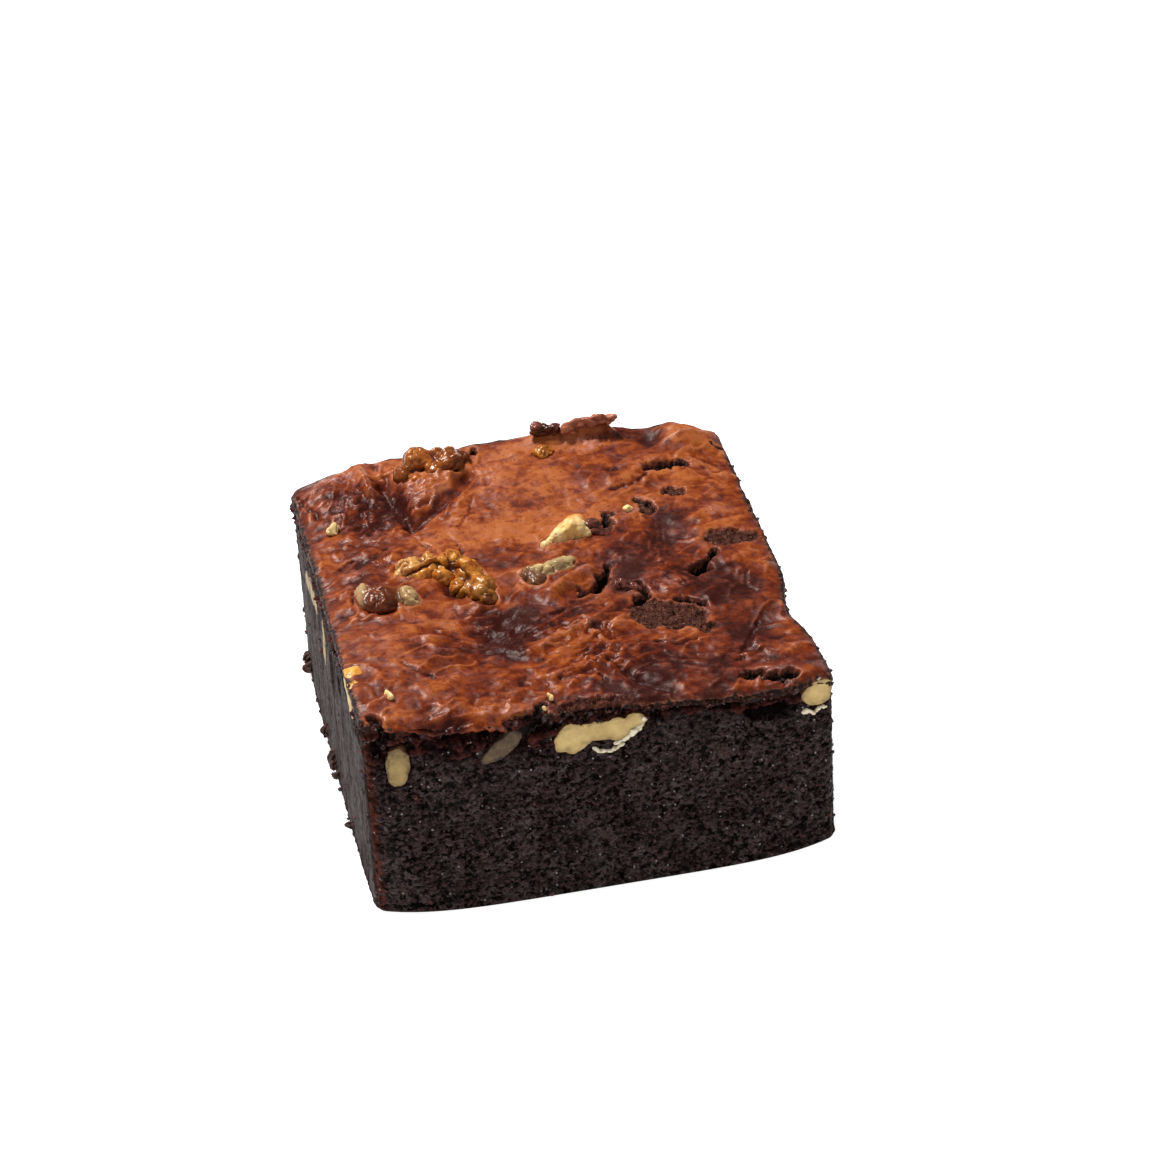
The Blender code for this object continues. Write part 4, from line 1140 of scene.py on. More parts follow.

# %% [markdown]
# ## The finish of the crumb
# The crumb is nearly black, with a little red brown in its grain, and a few grains of sugar carry a painted
# white glint. Pores and the gaps under the crust are painted darker still, as shade. The loose zone under
# the crust is a glossy purple brown with its recesses painted nearly black as shade. The smeared wall has a
# smoother, more even sheen, which is why it looks grey beside the front.

# %% The crumb's material
CRUMB_DARK, CRUMB_BROWN = (0.0080, 0.0047, 0.0050), (0.080, 0.0470, 0.0450)
LOOSE_RECESS_SHADE, LOOSE_BROWN = (0.0050, 0.0016, 0.0018), (0.100, 0.0260, 0.0210)
SMEARED, SMEARED_PALE = (0.0160, 0.0080, 0.0070), (0.0480, 0.0290, 0.0260)
RIND_BROWN, STRAND_GREY = (0.100, 0.027, 0.016), (0.110, 0.088, 0.092)
PAINTED_PORE_SHADE, UPPER_DARK = (0.0022, 0.0010, 0.0010), (0.0070, 0.0028, 0.0026)
PAINTED_GLINT_WHITE, SUGAR_GRAIN = (0.34, 0.31, 0.31), 0.9


def crumb_colour(tree, place, laid, streaks, open_pores, glint):
    """The colour of the crumb, from the grain up to the pores, the smear and the loose top."""
    grain = remapped(tree, noise_texture(tree, laid, 0.62, 4.0, 0.72), 0.42, 0.64)
    broad = noise_texture(tree, place, 6.0, 3.0, 0.5)
    strands = arithmetic(tree, "SUBTRACT", noise_texture(tree, laid, 2.2, 4.0, 0.6, 0.6), 0.5)
    strands = remapped(tree, arithmetic(tree, "ABSOLUTE", strands, 0.0), 0.004, 0.030, 0.75, 0.0)
    strands = product(tree, strands, remapped(tree, broad, 0.42, 0.56))
    colour = mix_colours(tree, grain, CRUMB_DARK, CRUMB_BROWN)
    colour = mix_colours(tree, remapped(tree, broad, 0.40, 0.7, 0.0, 0.35), colour, CRUMB_BROWN)
    colour = mix_colours(tree, strands, colour, STRAND_GREY)
    # the pores of the noise are painted black, as shade
    colour = mix_colours(tree, remapped(tree, open_pores, 0.452, 0.475, 1.0, 0.0), colour, PAINTED_PORE_SHADE)

    # the wall that the knife wiped, and the darker crumb high up
    smeared = mix_colours(tree, remapped(tree, streaks, 0.42, 0.60), SMEARED, SMEARED_PALE)
    colour = mix_colours(tree, product(tree, attribute(tree, "smear"), 0.85), colour, smeared)
    high = add_node(tree, "ShaderNodeSeparateXYZ", {"Vector": place}).outputs["Z"]
    colour = mix_colours(tree, remapped(tree, high, 0.0240, 0.0310, 0.0, 0.60), colour, UPPER_DARK)

    # the loose ledges under the crust, the baked rind at the corner, and every pore, hollow and pocket,
    # which are painted nearly black as shade
    # where a torn lump sits back from the others its crumb is painted nearly black as shade, and where it
    # stands out it is brown
    height = swayed(tree, attribute(tree, "ledge"), grain, 0.6)
    flaky = mix_colours(tree, remapped(tree, height, 0.30, 1.05), LOOSE_RECESS_SHADE, LOOSE_BROWN)
    colour = mix_colours(tree, attribute(tree, "loose"), colour, flaky)
    rind = product(tree, attribute(tree, "rind"), remapped(tree, open_pores, 0.38, 0.55, 0.25, 1.0))
    colour = mix_colours(tree, rind, colour, RIND_BROWN)
    dark = arithmetic(tree, "MAXIMUM", attribute(tree, "pore"), attribute(tree, "gap"))
    colour = mix_colours(tree, product(tree, dark, 0.85), colour, PAINTED_HOLE_SHADE)
    # a painted glint of white light on a few grains of sugar
    return mix_colours(tree, glint, colour, PAINTED_GLINT_WHITE)


def sugar_glint(tree, place):
    """A share that is high on a few small grains of sugar, where a glint of light is painted white, and low
    where the wall is smeared.
    """
    sugar = add_node(tree, "ShaderNodeTexVoronoi", {"Vector": place, "Scale": 1000.0 / SUGAR_GRAIN})
    chosen = add_node(tree, "ShaderNodeSeparateColor", {"Color": sugar.outputs["Color"]}).outputs["Red"]
    near = remapped(tree, sugar.outputs["Distance"], 0.10, 0.24, 1.0, 0.0)
    glint = product(tree, near, remapped(tree, chosen, 0.84, 0.90))
    return product(tree, glint, remapped(tree, attribute(tree, "smear"), 0.0, 1.0, 0.9, 0.1))


def crumb_finish():
    material, tree, shader, place = new_finish("porous crumb")
    laid, wiped = stretched(tree, place, (1.0, 1.0, 1.35)), stretched(tree, place, (1.0, 1.0, 0.35))
    open_pores = noise_texture(tree, laid, 1.05, 4.0, 0.68)
    streaks = noise_texture(tree, wiped, 1.6, 4.0, 0.62)
    glint = sugar_glint(tree, place)
    colour = crumb_colour(tree, place, laid, streaks, open_pores, glint)
    tree.links.new(colour, shader.inputs["Base Color"])
    rough = arithmetic(tree, "MULTIPLY_ADD", attribute(tree, "loose"), -0.24, 0.52)
    rough = arithmetic(tree, "MULTIPLY_ADD", glint, -0.30, rough)
    tree.links.new(rough, shader.inputs["Roughness"])
    sheen = noise_texture(tree, wiped, 2.6, 4.0, 0.62, 0.3)
    tree.links.new(remapped(tree, sheen, 0.44, 0.60, 0.008, 0.055), shader.inputs["Specular IOR Level"])
    grit = noise_texture(tree, place, 0.30, 3.0, 0.65)
    tree.links.new(bumped(tree, ((open_pores, 0.60), (grit, 0.10))), shader.inputs["Normal"])
    return material


crumb = make_crumb()
print("crumb:", len(crumb.data.polygons), "faces")

# %% [markdown]
# ## Walnut kernels
# A walnut kernel is a chain of knobs with creases between them. Overlapping spheres are skinned with
# voxels, which joins them into one closed surface, and noise then adds the small knobs and wrinkles of
# the real skin. The creases are measured on the mesh itself: a point that lies lower than its
# neighbours is in a crease, and the finish makes it dark, partly as the skin's own brown and partly as
# painted shade. A nut in a wall is pressed flat where the knife went through, and the flat share is kept
# too, because a cut face is pale and a skin is brown.

# %% Lobes of the kernels
NUT_VOXEL = 0.17
DEEP_CREASE = 0.16
WALL_SIGNS = {"front": -1, "right": 1, "back": 1, "left": -1}


def lobe_in_crust(x, y, lift, half_x, half_y, half_z, turn):
    """Where a lobe in the crust lies, and its half sizes."""
    height = float(broad_height(np.array(x), np.array(y))) + lift
    place = Matrix.Translation((x, y, height)) @ Matrix.Rotation(math.radians(turn), 4, "Z")
    return place, (half_x, half_y, half_z)


def wall_face(side, along, height):
    """How far out the face of a cut wall lies, in y for the front and back and in x for the others."""
    sign = WALL_SIGNS[side]
    if side in ("front", "back"):
        u, v = 2 * along / WIDTH, np.full(np.shape(along), float(sign))
    else:
        u, v = np.full(np.shape(along), float(sign)), 2 * along / DEPTH
    level = height / broad_height(u * WIDTH / 2, v * DEPTH / 2)
    x_out, y_out = wall_offset(u, v, level)
    return v * DEPTH / 2 + y_out if side in ("front", "back") else u * WIDTH / 2 + x_out


def lobe_in_wall(side, along, height, half_length, half_height, turn,
                 inset=CUT_NUT_INSET, half_depth=CUT_NUT_DEPTH):
    """Where a lobe behind a cut wall lies, and its half sizes."""
    face = float(wall_face(side, np.array(along), np.array(height))) - WALL_SIGNS[side] * inset
    if side in ("front", "back"):
        middle = Matrix.Translation((along, face, height)) @ Matrix.Rotation(math.radians(turn), 4, "Y")
        return middle, (half_length, half_depth, half_height)
    middle = Matrix.Translation((face, along, height)) @ Matrix.Rotation(math.radians(turn), 4, "X")
    return middle, (half_depth, half_length, half_height)


front_middle = float(wall_face("front", np.array(0.0), np.array(20.0)))
print("the front wall stands at y =", round(front_middle, 1), "mm")


# %% Skin over the lobes
def skinned(lobes, voxel):
    """Points and faces of one closed skin round several lobes, in mm."""
    shape = bmesh.new()
    for place, halves in lobes:
        lobe = place @ Matrix.Diagonal((*halves, 1.0))
        bmesh.ops.create_icosphere(shape, subdivisions=5, radius=1.0, matrix=lobe)
    mesh = bpy.data.meshes.new("lobes")
    shape.to_mesh(mesh)
    shape.free()
    lumps = bpy.data.objects.new("lobes", mesh)
    bpy.context.scene.collection.objects.link(lumps)
    skin = lumps.modifiers.new("Skin", "REMESH")
    skin.mode = "VOXEL"
    skin.voxel_size = voxel
    ease = lumps.modifiers.new("Ease", "SMOOTH")
    ease.factor, ease.iterations = 0.5, 4
    result = bpy.data.meshes.new_from_object(lumps.evaluated_get(bpy.context.evaluated_depsgraph_get()))
    bpy.data.objects.remove(lumps)
    places = np.empty(len(result.vertices) * 3)
    result.vertices.foreach_get("co", places)
    normals = np.empty(len(result.vertices) * 3)
    result.vertices.foreach_get("normal", normals)
    faces = [tuple(face.vertices) for face in result.polygons]
    edges = np.empty(len(result.edges) * 2, int)
    result.edges.foreach_get("vertices", edges)
    bpy.data.meshes.remove(result)
    return places.reshape(-1, 3), normals.reshape(-1, 3), faces, edges.reshape(-1, 2)


def neighbour_mean(values, edges):
    """The mean of each point's neighbours."""
    total, count = np.zeros_like(values), np.zeros(len(values))
    for a, b in ((0, 1), (1, 0)):
        np.add.at(total, edges[:, a], values[edges[:, b]])
        np.add.at(count, edges[:, a], 1)
    return total / np.maximum(count, 1).reshape(-1, *[1] * (values.ndim - 1))


def crease_share(places, normals, edges, reach):
    """From 0 to 1: how far each point lies in a crease of the skin."""
    soft = places
    for _ in range(reach):
        soft = neighbour_mean(soft, edges)
    return np.clip(((soft - places) * normals).sum(axis=1) / DEEP_CREASE, -1, 1)


print("the skin of a kernel is made of cells of", NUT_VOXEL, "mm")


# %% A whole kernel
def reach_of(places, lobe):
    """Below 1 inside a lobe, 1 on its skin and more outside it."""
    place, halves = lobe
    local = (places - np.array(place.translation)) @ np.array(place.to_3x3())
    return np.linalg.norm(local / np.array(halves), axis=1)


def lobe_tints(places, lobes, tints):
    """Each point takes the tint of the lobe that it lies nearest to, softly."""
    total, weight = np.zeros(len(places)), np.zeros(len(places))
    for lobe, tint in zip(lobes, tints):
        near = np.exp(-4.0 * (reach_of(places, lobe) - 1))
        total, weight = total + tint * near, weight + near
    return total / np.maximum(weight, 1e-9)


def lobe_reach(places, lobes):
    """The reach of the nearest lobe."""
    reach = np.full(len(places), FAR_AWAY)
    for lobe in lobes:
        reach = np.minimum(reach, reach_of(places, lobe))
    return reach


def make_kernel(name, lobes, finish, wrinkle, cut_sides=(), tints=None, seed=0, uneven=0.22):
    """A walnut kernel: skinned lobes, wrinkled, and pressed flat where a wall was cut."""
    places, normals, faces, edges = skinned(lobes, NUT_VOXEL)
    tint = lobe_tints(places, lobes, tints or [0.0] * len(lobes))
    size, depth = wrinkle
    px, py, pz = places.T
    bend = 0.5 * soft_noise(px / 2.5, py / 2.5, pz / 2.5, seed=seed + 3)
    folds = np.abs(soft_noise(px / size + bend, py / size, pz / size - bend, seed=seed))
    knobs = np.clip(folds * 2.3, 0, 1) ** 0.7
    small = size / 2.3
    folds = np.abs(soft_noise(px / small - bend, py / small + bend, pz / small, seed=seed + 4))
    knobs = knobs + 0.18 * np.clip(folds * 2.3, 0, 1) ** 0.8
    fine = soft_noise(px / 0.5, py / 0.5, pz / 0.5, seed=seed + 5)
    places = places + normals * (depth * (knobs - 0.9) + 0.07 * fine)[:, None]
    for axis in range(3):
        places[:, axis] += uneven * soft_noise(px / 1.9, py / 1.9, pz / 1.9 + 5 * axis, seed=seed + 7)
    cut = np.zeros(len(places))
    for side in cut_sides:
        axis, sign = (1 if side in ("front", "back") else 0), WALL_SIGNS[side]
        face = wall_face(side, places[:, 1 - axis], places[:, 2])
        relief = 0.12 + 0.10 * lumpy(places[:, 1 - axis] / 1.5, places[:, 2] / 1.5, seed=seed + 9)
        proud = sign * (places[:, axis] - face) - relief
        places[:, axis] -= sign * np.clip(proud, 0, None)
        cut = np.maximum(cut, proud > 0)
    crease = crease_share(places, normals, edges, 6)
    ragged_edge = 0.14 * lumpy(px / 1.3, py / 1.3, pz / 1.3, seed=seed + 11)
    edge = smooth_step(0.66, 0.98, lobe_reach(places, lobes) + ragged_edge)
    shares = {
        "crease": np.clip(crease, 0, 1) * (1 - cut), "knob": np.clip(-crease, 0, 1),
        "cut": cut, "tint": tint, "edge": edge * cut,
    }
    return mesh_object(name, places, faces, finish, shares)


print("kernels keep the shares crease, knob, cut, tint and edge")

# %% [markdown]
# ## The finish of the nuts
# The skin of a baked walnut is glazed: golden on the knobs, deep brown in the creases, and lit a little
# from within. The gold of the knobs is partly painted light and the brown of the creases partly painted
# shade.
# A cut face is pale and dull, like old ivory, with a thin brown line where the skin is.

# %% Materials of the nuts
GOLD, AMBER, NUT_BROWN = (0.620, 0.250, 0.034), (0.360, 0.088, 0.008), (0.062, 0.0120, 0.0040)
IVORY, OLIVE, MEMBRANE = (0.620, 0.450, 0.180), (0.360, 0.255, 0.090), (0.820, 0.740, 0.560)
PALE_KERNEL = (0.760, 0.540, 0.240)
CUT_ROUGHNESS, NUT_SHINE, NUT_SHINE_TINT = 0.55, 0.34, (1.0, 0.86, 0.72, 1.0)
GLOW_SHARE, GLOW_COLOURS, GLOW_DEPTH = 0.15, (1.0, 0.45, 0.15), 0.8
# light, middle and dark of the skin, light and dark of a cut face, roughness, brown share of a cut's rim
NUT_PALETTES = {
    "glazed walnut": (GOLD, AMBER, NUT_BROWN, IVORY, OLIVE, 0.25),
    "caramel walnut": ((0.420, 0.120, 0.014), (0.220, 0.045, 0.008), NUT_BROWN, IVORY, OLIVE, 0.22),
    "pale walnut": ((0.95, 0.74, 0.36), (0.92, 0.62, 0.20), (0.62, 0.19, 0.03), IVORY, OLIVE, 0.42),
    "dark glazed walnut": (
        (0.200, 0.038, 0.006), (0.100, 0.0165, 0.0040), (0.040, 0.0070, 0.0030), IVORY, OLIVE, 0.30,
    ),
    "cut walnut": (
        (0.11, 0.045, 0.018), (0.07, 0.025, 0.012), NUT_BROWN, IVORY, (0.480, 0.330, 0.120), 0.35,
    ),
    "glazed cut walnut": ((0.80, 0.42, 0.09), (0.62, 0.24, 0.03), NUT_BROWN, IVORY, OLIVE, 0.30),
    "dull cut walnut": (
        (0.10, 0.045, 0.018), (0.06, 0.025, 0.012), NUT_BROWN, OLIVE, (0.230, 0.155, 0.056), 0.35, 0.8,
    ),
    "smeared walnut": (
        (0.10, 0.06, 0.03), (0.020, 0.012, 0.011), NUT_BROWN, (0.130, 0.078, 0.034), (0.045, 0.026, 0.014),
        0.45, 1.0,
    ),
    "greenish walnut": (
        (0.440, 0.310, 0.130), (0.270, 0.185, 0.085), (0.100, 0.022, 0.008), IVORY, OLIVE, 0.30,
    ),
    "nut membrane": (MEMBRANE, (0.62, 0.52, 0.36), (0.30, 0.20, 0.12), MEMBRANE, IVORY, 0.45),
    "glossy crumb": (
        (0.190, 0.054, 0.038), (0.095, 0.023, 0.016), (0.022, 0.005, 0.004), IVORY, OLIVE, 0.22,
    ),
    "loose crumb": (
        (0.060, 0.022, 0.018), (0.028, 0.012, 0.011), (0.008, 0.003, 0.003), IVORY, OLIVE, 0.60,
    ),
    # the curled crust is coloured lighter than the skin it curls from: painted light on its front, which
    # faces away from the lamp
    "curled crust": (
        (0.480, 0.170, 0.095), (0.320, 0.075, 0.036), (0.110, 0.024, 0.015), IVORY, OLIVE, 0.34,
    ),
}


def nut_finish(name, light, middle_tone, dark, cut_light, cut_dark, roughness, edge_share=0.5):
    material, tree, shader, place = new_finish(name)
    patches = noise_texture(tree, place, 2.4, 4.0, 0.60)
    fine = noise_texture(tree, place, 0.5, 3.0, 0.6)
    stain = noise_texture(tree, place, 1.5, 3.0, 0.6)
    tint, cut = attribute(tree, "tint"), attribute(tree, "cut")

    # the skin: patches, lighter knobs, stains, the lobe's own tint and dark creases; the lighter knobs are
    # partly painted light and the dark creases partly painted shade
    colour = mix_colours(tree, remapped(tree, patches, 0.42, 0.60), middle_tone, light)
    colour = mix_colours(tree, product(tree, attribute(tree, "knob"), 0.5), colour, light)
    colour = mix_colours(tree, remapped(tree, stain, 0.54, 0.66, 0.0, 0.6), colour, dark)
    colour = mix_colours(tree, remapped(tree, tint, 0.0, 1.0), colour, PALE_KERNEL)
    colour = mix_colours(tree, remapped(tree, tint, 0.0, -1.0), colour, dark)
    crease = remapped(tree, attribute(tree, "crease"), 0.08, 0.75, 0.0, 0.90)
    colour = mix_colours(tree, crease, colour, dark)

    # the cut face, with a line of brown skin round its edge
    face = mix_colours(tree, remapped(tree, patches, 0.35, 0.68), cut_light, cut_dark)
    face = mix_colours(tree, remapped(tree, fine, 0.58, 0.78, 0.0, 0.15), face, MEMBRANE)
    brown = remapped(tree, stain, 0.42, 0.56, 0.4 * edge_share, edge_share)
    face = mix_colours(tree, product(tree, attribute(tree, "edge"), brown), face, middle_tone)
    tree.links.new(mix_colours(tree, cut, colour, face), shader.inputs["Base Color"])

    rough = swayed(tree, remapped(tree, cut, 0.0, 1.0, roughness, CUT_ROUGHNESS), fine, 0.2)
    tree.links.new(rough, shader.inputs["Roughness"])
    shader.inputs["Specular IOR Level"].default_value = NUT_SHINE
    shader.inputs["Specular Tint"].default_value = NUT_SHINE_TINT
    shader.inputs["Subsurface Weight"].default_value = GLOW_SHARE
    shader.inputs["Subsurface Radius"].default_value = GLOW_COLOURS
    shader.inputs["Subsurface Scale"].default_value = GLOW_DEPTH * MM
    wrinkles = noise_texture(tree, place, 0.9, 3.0, 0.55)
    tree.links.new(bumped(tree, ((wrinkles, 0.10), (fine, 0.03))), shader.inputs["Normal"])
    return material


finishes = {name: nut_finish(name, *palette) for name, palette in NUT_PALETTES.items()}
print(len(finishes), "finishes for the nuts and bits are ready")

# %% [markdown]
# ## Every kernel in its place
# A kernel starts from the lobes of its own solid. A few more lobes between them round it out, and each
# lobe has a tint, because one nut can be golden at one end and dark at the other. The thin skins, the
# small bits, the lumps of crumb and the curled flake of crust are made in the same way.

# %% Rows of the kernels
# more lobes for the eye only: they round out a kernel between the lobes of its solid
MORE_LOBES = {
    "walnut_half": (
        (-23.6, 3.4, -0.2, 1.8, 2.0, 1.6, 0), (-20.6, 2.6, -0.3, 1.9, 1.7, 1.7, 0),
        (-17.4, 2.0, -0.1, 1.8, 2.0, 1.8, 0), (-14.6, -1.4, 0.2, 2.4, 2.2, 1.9, 30),
        (-15.0, 4.6, 0.7, 1.7, 2.6, 2.1, 0), (-12.6, -4.6, 0.3, 2.4, 2.4, 1.8, 0),
    ),
    "walnut_chip": (
        (4.4, 11.0, 0.2, 1.6, 1.2, 1.4, 50), (7.6, 9.4, 0.4, 1.4, 1.6, 1.5, 0),
    ),
    "walnut_middle": (
        (0.6, 1.0, 0.0, 1.8, 1.2, 1.1, 0), (3.6, 1.6, 0.1, 1.3, 0.9, 1.1, 20),
        (-3.4, 0.4, -0.1, 1.4, 1.2, 1.1, 0), (-1.6, -2.6, -0.1, 1.3, 1.4, 1.1, 0),
        (2.6, -0.4, -0.2, 2.4, 1.5, 1.3, 20), (0.2, -1.6, -0.1, 1.8, 1.5, 1.2, 0),
        (-4.0, -1.0, -0.2, 1.5, 2.0, 1.3, 0),
    ),
    "walnut_left": (
        (-26.4, -3.4, 0.0, 1.6, 1.8, 1.5, 0), (-31.6, -0.6, -0.1, 0.9, 1.7, 1.2, 0),
        (-23.6, -6.2, -0.1, 1.4, 1.3, 1.2, 0),
    ),
    "walnut_back": (
        (-13.0, 33.0, 0.2, 2.2, 2.2, 1.8, 0), (-8.6, 36.4, 0.4, 2.0, 1.8, 1.8, 0),
        (-17.0, 31.4, -0.2, 1.8, 1.8, 1.4, 0), (-12.2, 37.6, 0.6, 2.2, 1.6, 1.9, 0),
    ),
}
# finish, size and depth of the folds, and a tint for each lobe: pale above 0 and dark below it
CRUST_NUT_LOOKS = {
    "walnut_half": ("glazed walnut", (5.4, 0.90),
                    (0.28, 0.05, 0.0, 0.0, -0.15, -0.70, 0.20, -0.25, -0.15, -0.15, 0.0, -0.40)),
    "walnut_chip": ("pale walnut", (3.0, 0.25), (0.8, 0.4, -0.3, -0.9, -0.9, 1.0)),
    "walnut_middle": ("greenish walnut", (3.0, 0.40),
                      (0.15, 0.70, -0.8, 0.3, 0.2, -0.5, -1.0, -0.4, -0.3, -0.9)),
    "walnut_left": ("dark glazed walnut", (3.0, 0.35), (-0.20, 0.60, 0.70, -0.1, 0.55, 0.50)),
    "walnut_back": ("caramel walnut", (3.8, 0.55), (-0.3, -0.15, -0.45, 0.0, -0.7, 0.0, -0.1)),
}
# the finish of each sliced nut that isn't plain ivory
WALL_NUT_LOOKS = {
    "walnut_front_left": "dull cut walnut",
    "walnut_front_sunk": "smeared walnut",
    "walnut_left_rear": "dull cut walnut",
    "walnut_left_middle": "dull cut walnut",
    "walnut_left_rim": "glazed cut walnut",
}
# side, then lobes along the wall: thin white skin that came away from the cut nuts
MEMBRANES = {
    "front_strip": ("front", (
        (2.4, 26.0, 0.9, 0.40, -15), (3.6, 26.5, 0.9, 0.55, -40), (4.8, 27.2, 0.9, 0.65, -40),
        (5.8, 28.0, 0.9, 0.55, -55), (6.6, 29.2, 0.8, 0.45, -70),
    )),
    "front_flake": ("front", (
        (-1.3, 25.5, 0.60, 0.46, 30), (-0.5, 24.9, 0.9, 0.40, -8), (0.6, 24.8, 0.9, 0.36, 14),
        (1.7, 25.1, 0.9, 0.38, -14), (2.8, 25.5, 0.8, 0.36, -20),
    )),
    "right_flake": ("front", (
        (32.7, 25.5, 0.8, 0.55, -20), (33.7, 25.1, 0.8, 0.42, 32), (34.7, 25.4, 0.7, 0.42, -30),
        (35.6, 25.6, 0.7, 0.34, 10),
    )),
}
# more lobes that round out a sliced kernel, in the terms of its own row
MORE_WALL_LOBES = {
    "walnut_front_left": ((-32.4, 26.0, 2.0, 2.6, 4),),
    "walnut_front_sunk": ((-14.6, 29.2, 2.4, 1.5, -32), (-18.0, 26.8, 1.8, 1.0, -24)),
    "walnut_front_middle": (
        (-3.0, 28.3, 2.4, 2.2, 0), (0.6, 28.4, 2.3, 1.9, 0), (3.8, 28.2, 2.2, 1.9, -15),
        (-6.4, 27.4, 1.7, 2.0, 20),
    ),
    "walnut_front_right": ((35.6, 29.0, 1.8, 1.8, 0),),
}
# clusters of crumbs that stick out at the foot of the left wall, in the terms of a wall nut's row
FOOT_CRUMBS = (
    ((34.5, 2.1, 1.5, 1.3, 20), (32.0, 1.7, 1.3, 1.1, 0)),
    ((11.5, 1.6, 1.2, 1.0, 0),),
    ((3.6, 1.8, 1.3, 1.2, 30), (1.8, 1.3, 0.9, 0.8, 0)),
    ((-1.8, 1.5, 1.0, 0.9, 0),),
    ((-16.0, 1.2, 0.8, 0.7, 0),),
)
print(len(MORE_LOBES), "nuts in the crust and", len(MORE_WALL_LOBES), "sliced nuts have more lobes")

# %% The kernels and the small bits
LIFT_OF_KERNELS = -0.35
MEMBRANE_HALF_DEPTH, FOOT_CRUMB_HALF_DEPTH = 0.34, 1.3
kernels, trimmings = {}, []
for number, (name, rows) in enumerate(CRUST_NUTS.items()):
    finish, wrinkle, tints = CRUST_NUT_LOOKS[name]
    rows = rows + MORE_LOBES[name]
    lobes = [lobe_in_crust(x, y, lift + LIFT_OF_KERNELS, *rest) for x, y, lift, *rest in rows]
    kernels[name] = make_kernel(name + "_kernel", lobes, finishes[finish], wrinkle, tints=tints,
                                seed=200 + number)
for number, (name, (side, rows)) in enumerate(WALL_NUTS.items()):
    sides = (side, "right") if name == "walnut_front_right" else (side,)
    lobes = [lobe_in_wall(side, *row) for row in rows + MORE_WALL_LOBES.get(name, ())]
    finish = finishes[WALL_NUT_LOOKS.get(name, "cut walnut")]
    kernels[name] = make_kernel(name + "_kernel", lobes, finish, (1.8, 0.12), sides, seed=230 + number,
                                uneven=0.24)
for number, (name, (side, rows)) in enumerate(MEMBRANES.items()):
    lobes = [lobe_in_wall(side, *row, inset=0.0, half_depth=MEMBRANE_HALF_DEPTH) for row in rows]
    trimmings.append(make_kernel(name, lobes, finishes["nut membrane"], (0.9, 0.16), seed=260 + number))


def add_trimming(name, lobes, finish, wrinkle, seed, tints=None):
    """A small uneven bit that has no solid of its own."""
    trimmings.append(make_kernel(name, lobes, finishes[finish], wrinkle, tints=tints, seed=seed,
                                 uneven=0.5))


for number, (x, y, half_x, half_y, half_z, turn, tint) in enumerate(NUT_BITS):
    lobes = [lobe_in_crust(x, y, 0.15 * half_z, half_x, half_y, half_z, turn)]
    finish = "pale walnut" if tint > 0 else "glazed walnut"
    add_trimming("nut_bit_" + str(number), lobes, finish, (1.6, 0.25), 280 + number, [tint])
for number, rows in enumerate(CRUMB_LUMPS):
    lobes = [lobe_in_crust(*row) for row in rows]
    add_trimming("crumb_lump_" + str(number), lobes, "glossy crumb", (1.3, 0.35), 300 + number)
for number, rows in enumerate(FOOT_CRUMBS):
    lobes = [lobe_in_wall("left", *row, inset=0.0, half_depth=FOOT_CRUMB_HALF_DEPTH) for row in rows]
    add_trimming("foot_crumb_" + str(number), lobes, "loose crumb", (1.2, 0.5), 320 + number)
flake_lobes = [lobe_in_crust(*row) for row in CURLED_FLAKE]
add_trimming("curled_flake", flake_lobes, "curled crust", (2.6, 0.35), 310, (0.0, -0.3, -0.15, 0.0, 0.12))
print("kernels:", {name: len(piece.data.polygons) for name, piece in kernels.items()})

# %% [markdown]
# ## Loose crumbs
# Cutting leaves crumbs that cling to the walls and lie along the foot. They are small, all alike and
# many, so a short tree of geometry nodes scatters them. It picks points on the crumb mesh, more of them
# where the share called shed is high, and puts a little knobbly ball of its own size and turn on each.
# The balls are then made real, so that the result is a plain mesh like every other piece.

# %% Crumbs that cling to the walls
CRUMBS_PER_SQUARE_MM = 0.42
SMALLEST_CRUMB, LARGEST_CRUMB = 0.12, 0.42
CRUMB_UNEVENNESS = 1.1
RUSTY_CRUMB = (0.110, 0.026, 0.018)
FULL_TURN = (6.28, 6.28, 6.28)


def shed_share(places):
    """How likely a crumb clings to each place of the walls, from 0 to 1."""
    x, y, z = places.T
    top = broad_height(x, y)
    level = z / np.maximum(top, 1.0)
    inner = (np.abs(x) < WIDTH / 2 - 2.5) & (np.abs(y) < DEPTH / 2 - 2.5)
    patchy = smooth_step(0.0, 0.35, lumpy(x / 5, y / 5, z / 4, seed=95))
    foot = 1 - smooth_step(0.3, 2.0, z)
    upper = smooth_step(0.84, 0.95, level)
    corner = np.exp(-(((np.abs(x) - WIDTH / 2) / 2.0) ** 2) - ((np.abs(y) - DEPTH / 2) / 2.5) ** 2)
    share = 0.10 * patchy + 0.85 * foot * patchy + 0.5 * upper + 0.35 * corner
    return np.where(inner | (z < 0.05), 0.0, np.clip(share, 0, 1))


print("share of crumbs at the foot:", round(float(shed_share(np.array([[0.0, -41.0, 0.5]]))[0]), 2))


